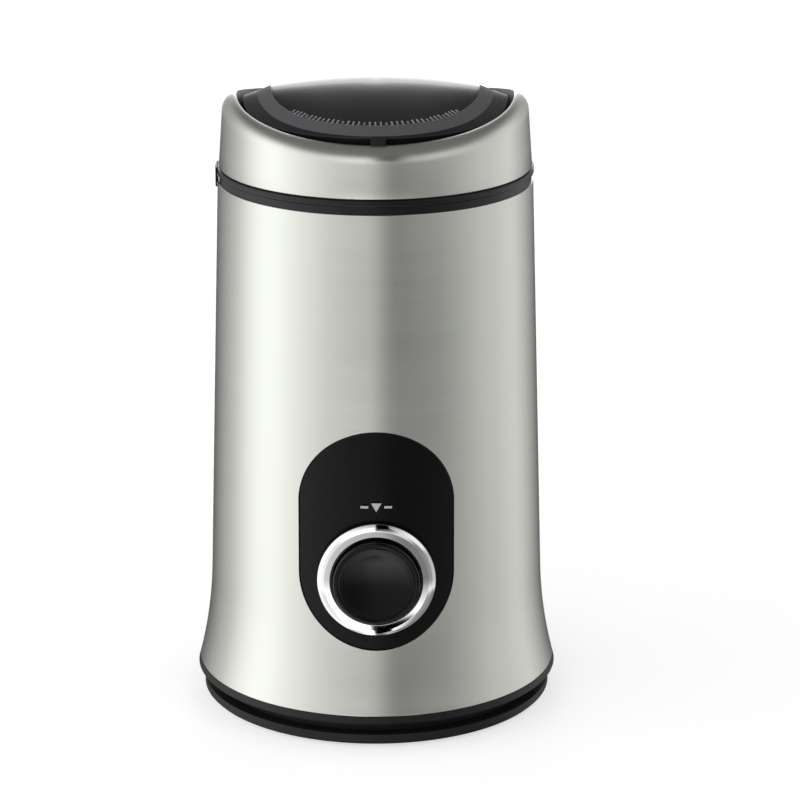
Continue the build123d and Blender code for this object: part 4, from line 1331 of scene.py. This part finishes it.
@dataclass
class GrindingSet(SubAssembly):
    """The steel bowl, the twisted blade and the nut that holds it."""

    bowl_bottom: float = 100.0
    bowl_rim: float = 152.8
    bowl_radius: float = 36.0
    bowl_wall: float = 0.8
    bowl_corner: float = 9.0
    flange_radius: float = 40.4
    boss_radius: float = 6.8
    boss_bore: float = 6.0
    boss_top: float = 103.8
    blade_level: float = 108.0
    blade_thickness: float = 1.6
    blade_reach: float = 32.0
    blade_flat: float = 10.5
    blade_width: float = 9.5
    tip_width: float = 6.5
    blade_rise: float = 6.0
    blade_drop: float = 3.0
    blade_twist: float = 24.0
    root_radius: float = 6.5
    grind: Triple = (0.1, 0.4, 0.8)
    long_cuts: int = 63
    cross_cuts: int = 9
    nut_radius: float = 4.5
    nut_collar: float = 4.0
    nut_height: float = 4.0
    nut_step: float = 1.2
    nut_sunk: float = 0.4
    thread_radius: float = 2.5

    def bowl(self) -> Piece:
        """The drawn bowl, with a rolled flange and a short boss round the shaft's seal."""
        outside = self.bowl_radius + self.bowl_wall
        floor = self.bowl_bottom + self.bowl_wall
        bowl = turn_ring(
            "steel_bowl",
            [
                Corner(self.boss_bore, self.bowl_bottom),
                Corner(outside, self.bowl_bottom, self.bowl_corner),
                Corner(outside, self.bowl_rim - self.bowl_wall),
                Corner(self.flange_radius, self.bowl_rim - self.bowl_wall),
                Corner(self.flange_radius, self.bowl_rim, 0.3),
                Corner(self.bowl_radius, self.bowl_rim, 0.9),
                Corner(self.bowl_radius, floor, self.bowl_corner - self.bowl_wall),
                Corner(self.boss_radius, floor, 0.6),
                Corner(self.boss_radius, self.boss_top, 0.3),
                Corner(self.boss_bore, self.boss_top, 0.2),
            ],
            192,
            8,
        )
        smooth(bowl)
        return bowl

    def wing(self, spot: Vector) -> Vector:
        """Bends a place of the flat blank to the blade: narrowed, ground, twisted and raised."""
        side = 1 if spot.x >= 0 else -1
        share = max(0.0, (abs(spot.x) - self.blade_flat) / (self.blade_reach - self.blade_flat))
        width = self.blade_width + (self.tip_width - self.blade_width) * share
        if abs(spot.x) < self.root_radius:
            width = max(width, math.sqrt(self.root_radius**2 - spot.x**2) * 2)
        across = spot.y * width
        thin = self.blade_thickness
        start, reach, most = self.grind
        lead = side * spot.y - start
        if lead > 0 and abs(spot.x) > self.root_radius + 1 and spot.z > 0:
            thin *= 1 - most * min(1.0, lead / reach)
        up = -self.blade_thickness / 2 if spot.z < 0 else -self.blade_thickness / 2 + thin
        lift = (self.blade_rise if side > 0 else -self.blade_drop) * share
        angle = math.radians(self.blade_twist) * share * side
        cos, sin = math.cos(angle), math.sin(angle)
        level = self.blade_level + self.blade_thickness / 2 + lift
        return Vector((spot.x, across * cos - up * sin, level + across * sin + up * cos))

    def blade(self) -> Piece:
        """The stamped blade: two wings, one raised and one lowered, ground along one edge."""
        blade = block("twisted_blade", (2 * self.blade_reach, 1, 1), (0, 0, 0))
        with editing(blade, "DESELECT"):
            mesh = bmesh.from_edit_mesh(blade.data)
            for axis, cuts in ((0, self.long_cuts), (1, self.cross_cuts)):
                run = [e for e in mesh.edges if abs(e.verts[0].co[axis] - e.verts[1].co[axis]) > MM / 2]
                bmesh.ops.subdivide_edges(mesh, edges=run, cuts=cuts, use_grid_fill=True)
            bmesh.update_edit_mesh(blade.data)
        reshape(blade, self.wing)
        round_edges(blade, 0.12, 2, 50)
        smooth(blade, 25)
        return blade

    def nut(self) -> Piece:
        """The nut: a hexagon with eased corners under a round, chamfered collar."""
        low = self.blade_level + self.blade_thickness
        middle = low + self.nut_height / 2
        deselect_all()
        bpy.ops.mesh.primitive_cylinder_add(
            vertices=6, radius=self.nut_radius * MM, depth=self.nut_height / 2 * MM,
            location=(0, 0, (low + middle) / 2 * MM), rotation=(0, 0, math.pi / 6),
        )
        hexagon = named("hexagon")
        settle(hexagon)
        round_edges(hexagon, 0.3, 3)
        top, bore = middle + self.nut_height / 2, self.thread_radius - self.nut_step
        collar = turn_ring(
            "collar",
            [
                Corner(self.thread_radius, middle - self.nut_sunk),
                Corner(self.nut_collar, middle - self.nut_sunk),
                Corner(self.nut_collar, top, 1.4),
                Corner(bore, top, 0.3),
                Corner(bore, middle + 2 * self.nut_sunk),
                Corner(self.thread_radius, middle + 2 * self.nut_sunk),
            ],
            48,
        )
        nut = join("dome_nut", [hexagon, collar])
        smooth(nut)
        return nut

    def build(self) -> list[Piece]:
        """Builds the bowl, the blade and the nut."""
        look = self.palette
        self.dress(self.bowl(), look.bowl_steel, "bowl_steel", "housing", ["grinding_bowl"])
        self.dress(self.blade(), look.blade_steel, "bowl_steel", "rotor", ["grinding_blade"])
        self.dress(self.nut(), look.blade_steel, "zinc_steel", "rotor", ["blade_nut"])
        return self.made


@dataclass
class BaseFittings(SubAssembly):
    """The rubber feet and the screws under the base."""

    foot_radius: float = 6.0
    foot_height: float = 2.2
    foot_dish: float = 0.25
    foot_ring: tuple[float, float] = (3.2, 3.6)
    foot_circle: float = 42.0
    foot_angles: tuple[float, ...] = (45.0, 135.0, 225.0, 315.0)
    screw_head: float = 2.9
    screw_low: float = 2.0
    screw_seat: float = 4.0
    screw_radius: float = 1.5
    screw_top: float = 26.0
    screw_tip: float = 1.2
    recess: Triple = (3.2, 0.7, 2.2)
    screw_circle: float = 38.0
    screw_angles: tuple[float, ...] = (0.0, 180.0, 270.0)

    def feet(self) -> Piece:
        """Four rubber feet with rounded edges and a shallow ring in the face."""
        foot = turn(
            "foot",
            rounded_section(
                [
                    Corner(0, self.foot_dish),
                    Corner(self.foot_ring[0], self.foot_dish, 0.2),
                    Corner(self.foot_ring[1], 0.0, 0.2),
                    Corner(self.foot_radius, 0.0, 0.7),
                    Corner(self.foot_radius, self.foot_height, 0.1),
                    Corner(0, self.foot_height),
                ]
            ),
            64,
        )
        set_aside(foot, self.foot_circle)
        feet = join("rubber_feet_set", copy_turned(foot, self.foot_angles))
        smooth(feet)
        return feet

    def screws(self) -> Piece:
        """Three pan-head screws with a cross recess."""
        screw = turn(
            "screw",
            rounded_section(
                [
                    Corner(0, self.screw_low),
                    Corner(self.screw_head, self.screw_low, 1.1),
                    Corner(self.screw_head, self.screw_seat),
                    Corner(self.screw_radius, self.screw_seat),
                    Corner(self.screw_radius, self.screw_top - self.screw_tip),
                    Corner(0, self.screw_top),
                ]
            ),
            48,
        )
        for angle in (0, math.pi / 2):
            cut(screw, block("tool", self.recess, (0, 0, self.screw_low), (0, 0, angle)))
        set_aside(screw, self.screw_circle)
        screws = join("cross_screws", copy_turned(screw, self.screw_angles))
        smooth(screws)
        return screws

    def build(self) -> list[Piece]:
        """Builds the feet and the screws."""
        look = self.palette
        self.dress(self.feet(), look.black_rubber, "black_rubber", "housing", ["rubber_feet"])
        self.dress(self.screws(), look.zinc_steel, "zinc_steel", "housing", ["base_screws"])
        return self.made


@dataclass
class CarriedNodes:
    """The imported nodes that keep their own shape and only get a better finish."""

    palette: Palette
    frame: dict

    def dress(self) -> list[Piece]:
        """Gives every shown node the finish of its slot and returns the nodes."""
        finishes = {finish.name: finish for finish in vars(self.palette).values()}
        dressed = []
        for name, node in self.frame["nodes"].items():
            if node.hide_render:
                continue
            finish = finishes.get(self.slot_of(node), self.palette.black_plastic)
            material = finish.material()
            if not node.material_slots:
                node.data.materials.append(material)
            for held in node.material_slots:
                held.material = material
            dressed.append(node)
        return dressed

    def slot_of(self, node: Piece) -> str:
        """The slot's name from the material that a node was packed with."""
        held = node.material_slots[0].material if node.material_slots else None
        return held.name.split(".")[0] if held else ""


# ------------------------------------------------------------------ studio
@dataclass
class Studio:
    """The pale floor, the soft tent of light and the camera."""

    tent_radius: float = 1.3
    tent_low: float = -1.4
    tent_high: float = 1.6
    ceiling_light: float = 0.2
    back_light: float = 2.8
    back_fade: tuple[float, float] = (0.78, 0.165)
    back_rise: tuple[float, float] = (-0.15, 0.1)
    side_fade: tuple[float, float] = (0.7, 1.6)
    side_top: float = 0.3
    low_band: tuple[float, float] = (-0.75, -0.55)
    low_gain: float = 1.6
    low_notch_rise: tuple[float, float] = (-0.95, -0.75)
    floor_glow: float = 0.6
    shade_band: tuple[float, float, float, float] = (-0.6, -0.36, 0.2, 0.42)
    shade_light: float = 0.6
    camera_place: tuple[float, float, float] = (0.0, -0.94125, 0.38167)
    camera_pitch: float = 0.3006
    camera_yaw: float = 0.0076
    lens: float = 148.6
    walls: Ramp = (
        (-180, 0.06), (-160, 0.1), (-145, 0.3), (-130, 0.58), (-114, 0.87), (-100, 1.40),
        (-86, 1.69), (-74, 1.68), (-61, 1.43), (-51, 1.28), (-42, 1.17), (-33, 1.15), (-24, 1.15),
        (-15, 1.16), (-4, 1.20), (2, 1.16), (7, 0.76), (12, 0.6), (20, 0.57), (28, 0.64),
        (47, 0.76), (66, 0.80), (89, 0.85), (101, 0.94), (114, 1.04), (128, 0.74), (145, 0.36),
        (160, 0.1), (180, 0.06),
    )
    shade: Ramp = (
        (-180, 1.0), (-45, 1.0), (-15, 0.5), (12, 0.35), (45, 0.45), (80, 1.0), (180, 1.0),
    )
    low_side: Ramp = (
        (-180, 0.4), (-40, 0.45), (-18, 0.95), (20, 1.0), (36, 0.22), (90, 0.15), (180, 0.15),
    )
    notch_rise: tuple[float, float] = (0.45, 0.6)
    notch: Ramp = (
        (-180, 0.0), (-2, 0.0), (0, 1.0), (18, 1.0), (20, 0.0), (180, 0.0),
    )
    low_notch: Ramp = (
        (-180, 0.0), (-4, 0.0), (-2, 1.0), (17, 1.0), (19, 0.0), (180, 0.0),
    )
    back: Ramp = (
        (-180, 1.0), (-173, 0.9), (-166, 0.3), (-156, 0.1), (-130, 0.0), (130, 0.0), (156, 0.1),
        (166, 0.3), (173, 0.9), (180, 1.0),
    )

    def world(self) -> None:
        """A white surround for the camera, metal and glass, and no light of its own."""
        world = bpy.data.worlds.new("surround")
        bpy.context.scene.world = world
        world.use_nodes = True
        nodes, links = world.node_tree.nodes, world.node_tree.links
        back = nodes["Background"]
        back.inputs["Color"].default_value = (1, 1, 1, 1)
        links.new(self._seen(nodes, links), back.inputs["Strength"])

    def _seen(self, nodes: Nodes, links: Links) -> Socket:
        """Adds a value that is 1 for what the camera sees, also in metal and through glass."""
        path = nodes.new("ShaderNodeLightPath")
        seen = path.outputs["Is Camera Ray"]
        for ray in ("Is Glossy Ray", "Is Transmission Ray"):
            seen = self._math(nodes, links, "MAXIMUM", seen, path.outputs[ray])
        return seen

    @staticmethod
    def _ramp(nodes: Nodes, links: Links, share: Socket, lights: Ramp) -> Socket:
        """Adds a ramp of light by bearing, in degrees, and returns its value, 1 at the brightest."""
        ramp = nodes.new("ShaderNodeValToRGB")
        stops = ramp.color_ramp.elements
        brightest = max(light for _, light in lights)
        while len(stops) < len(lights):
            stops.new(0.5)
        for stop, (angle, light) in zip(stops, lights):
            stop.position = (angle + 180) / 360
            stop.color = (*(light / brightest,) * 3, 1)
        links.new(share, ramp.inputs["Fac"])
        return ramp.outputs["Color"]

    @staticmethod
    def _math(
        nodes: Nodes, links: Links, operation: str, one: Socket | float, other: Socket | float = 0.0
    ) -> Socket:
        """Adds a math node on sockets or plain values and returns its value."""
        node = nodes.new("ShaderNodeMath")
        node.operation = operation
        for socket, source in zip(node.inputs, (one, other)):
            if isinstance(source, float):
                socket.default_value = source
            else:
                links.new(source, socket)
        return node.outputs["Value"]

    @staticmethod
    def _glow(name: str) -> tuple[bpy.types.Material, Socket]:
        """Makes a glowing material and returns it with the socket of its strength."""
        made = bpy.data.materials.new(name)
        made.use_nodes = True
        nodes = made.node_tree.nodes
        nodes.clear()
        output = nodes.new("ShaderNodeOutputMaterial")
        glow = nodes.new("ShaderNodeEmission")
        made.node_tree.links.new(glow.outputs["Emission"], output.inputs["Surface"])
        return made, glow.inputs["Strength"]

    def wall_material(self) -> bpy.types.Material:
        """The tent's glow, which changes with the direction round the object and with the level."""
        made, strength = self._glow("tent_wall")
        nodes, links = made.node_tree.nodes, made.node_tree.links
        place = nodes.new("ShaderNodeTexCoord")
        split = nodes.new("ShaderNodeSeparateXYZ")
        links.new(place.outputs["Object"], split.inputs["Vector"])
        level = split.outputs["Z"]

        def sums(operation: str, one: Socket | float, other: Socket | float = 0.0) -> Socket:
            """A math node in this material."""
            return self._math(nodes, links, operation, one, other)

        def product(one: Socket | float, other: Socket | float) -> Socket:
            """Two values multiplied."""
            return sums("MULTIPLY", one, other)

        def less(value: Socket) -> Socket:
            """What a value lacks of 1."""
            return sums("SUBTRACT", 1.0, value)

        def between(low: float, high: float, start: float, end: float) -> Socket:
            """A smooth change with the level, from start to end."""
            change = nodes.new("ShaderNodeMapRange")
            change.interpolation_type = "SMOOTHSTEP"
            for name, value in zip(("From Min", "From Max", "To Min", "To Max"), (low, high, start, end)):
                change.inputs[name].default_value = value
            links.new(level, change.inputs["Value"])
            return change.outputs["Result"]

        bearing = sums("ARCTAN2", split.outputs["X"], product(split.outputs["Y"], -1.0))
        share = sums("ADD", sums("DIVIDE", bearing, math.tau), 0.5)

        def round_by(lights: Ramp) -> Socket:
            """A ramp of light by bearing, 1 at its brightest."""
            return self._ramp(nodes, links, share, lights)

        brightest = max(light for _, light in self.walls)
        sides = product(round_by(self.walls), brightest)
        sides = product(sides, between(*self.side_fade, 1.0, self.side_top))
        low, dark_from, dark_to, high = self.shade_band
        in_band = product(between(low, dark_from, 0.0, 1.0), between(dark_to, high, 1.0, 0.0))
        shade = round_by(self.shade)
        lit = sums("ADD", 1.0, product(less(shade), self.shade_light))
        sides = product(sides, sums("ADD", product(shade, in_band), product(lit, less(in_band))))
        low_light = product(round_by(self.low_side), self.low_gain)
        sides = product(sides, less(product(between(*self.low_band, 1.0, 0.0), less(low_light))))
        bar = product(round_by(self.notch), between(*self.notch_rise, 0.0, 1.0))
        low_bar = product(round_by(self.low_notch), between(*self.low_notch_rise, 1.0, 0.0))
        sides = product(sides, less(sums("MINIMUM", sums("ADD", bar, low_bar), 1.0)))
        start, reach = self.back_fade
        fall = sums("EXPONENT", sums("MINIMUM", sums("DIVIDE", sums("SUBTRACT", start, level), reach), 0.0))
        back = product(round_by(self.back), self.back_light)
        back = product(back, product(fall, between(*self.back_rise, 0.0, 1.0)))
        links.new(sums("ADD", sides, back), strength)
        return made

    def disc(self, name: str, level: float, sides: int, fill: str, share: float = 1.0) -> Piece:
        """Adds a disc across the tent.

        Args:
            name: The disc's name.
            level: Its level in metres.
            sides: How many sides its outline has.
            fill: How its face is filled.
            share: Its share of the tent's radius.

        Returns:
            The disc.
        """
        deselect_all()
        bpy.ops.mesh.primitive_circle_add(
            vertices=sides, radius=self.tent_radius * share, fill_type=fill, location=(0, 0, level)
        )
        disc = named(name)
        settle(disc)
        return disc

    def tent(self) -> None:
        """Glowing walls, ceiling and bottom round the object, unseen by the camera."""
        deselect_all()
        bpy.ops.mesh.primitive_cylinder_add(
            vertices=128,
            radius=self.tent_radius,
            depth=self.tent_high - self.tent_low,
            end_fill_type="NOTHING",
            location=(0, 0, (self.tent_high + self.tent_low) / 2),
        )
        walls = named("tent_walls")
        settle(walls)
        smooth(walls)
        glow = self.wall_material()
        walls.data.materials.append(glow)
        ceiling = self.disc("tent_ceiling", self.tent_high, 64, "NGON")
        even, strength = self._glow("tent_ceiling")
        strength.default_value = self.ceiling_light
        ceiling.data.materials.append(even)
        bottom = self.disc("tent_bottom", self.tent_low, 64, "TRIFAN")
        bottom.data.materials.append(glow)
        for part in (walls, ceiling, bottom):
            part.visible_camera = False
            part.visible_transmission = False
            part.visible_shadow = False

    def floor(self) -> None:
        """The pale floor, which carries the object's soft shadow."""
        floor = self.disc("floor", 0, 96, "NGON", 0.99)
        made = bpy.data.materials.new("pale_floor")
        made.use_nodes = True
        nodes, links = made.node_tree.nodes, made.node_tree.links
        shader = nodes["Principled BSDF"]
        shader.inputs["Base Color"].default_value = (0.8, 0.8, 0.8, 1)
        shader.inputs["Roughness"].default_value = 0.9
        shader.inputs["Specular IOR Level"].default_value = 0.0
        shader.inputs["Emission Color"].default_value = (1, 1, 1, 1)
        glow = self._math(nodes, links, "MULTIPLY", self._seen(nodes, links), self.floor_glow)
        links.new(glow, shader.inputs["Emission Strength"])
        floor.data.materials.append(made)
        floor.visible_glossy = False

    def camera(self) -> None:
        """The camera, a little above the object and in front of it."""
        lens = bpy.data.cameras.new("camera")
        lens.lens = self.lens
        lens.sensor_width = 36
        lens.clip_start = 0.01
        lens.clip_end = 20
        camera = bpy.data.objects.new("camera", lens)
        bpy.context.scene.collection.objects.link(camera)
        flat = math.cos(self.camera_pitch)
        direction = Vector(
            (
                math.sin(self.camera_yaw) * flat,
                math.cos(self.camera_yaw) * flat,
                -math.sin(self.camera_pitch),
            )
        )
        camera.location = self.camera_place
        camera.rotation_euler = direction.to_track_quat("-Z", "Y").to_euler()
        bpy.context.scene.camera = camera

    def build(self) -> None:
        """Sets up the surround, the tent, the floor and the camera."""
        bpy.context.scene.view_settings.view_transform = "Standard"
        self.world()
        self.tent()
        self.floor()
        self.camera()


def main() -> None:
    """Loads the frame, builds the sub-assemblies in order, dresses the rest and lights it."""
    logging.basicConfig(level=logging.INFO, format="%(message)s")
    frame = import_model()
    palette = Palette()
    for assembly in (
        SteelBody(palette),
        Lid(palette),
        ControlPanel(palette),
        ButtonSpring(palette),
        GrindingSet(palette),
        BaseFittings(palette),
    ):
        for piece in assembly.build():
            log.info("%s: %s, %d faces", type(assembly).__name__, piece.name, len(piece.data.polygons))
    for node in CarriedNodes(palette, frame).dress():
        log.info("carried over: %s", node.name)
    Studio().build()


if __name__ == "__main__":
    main()
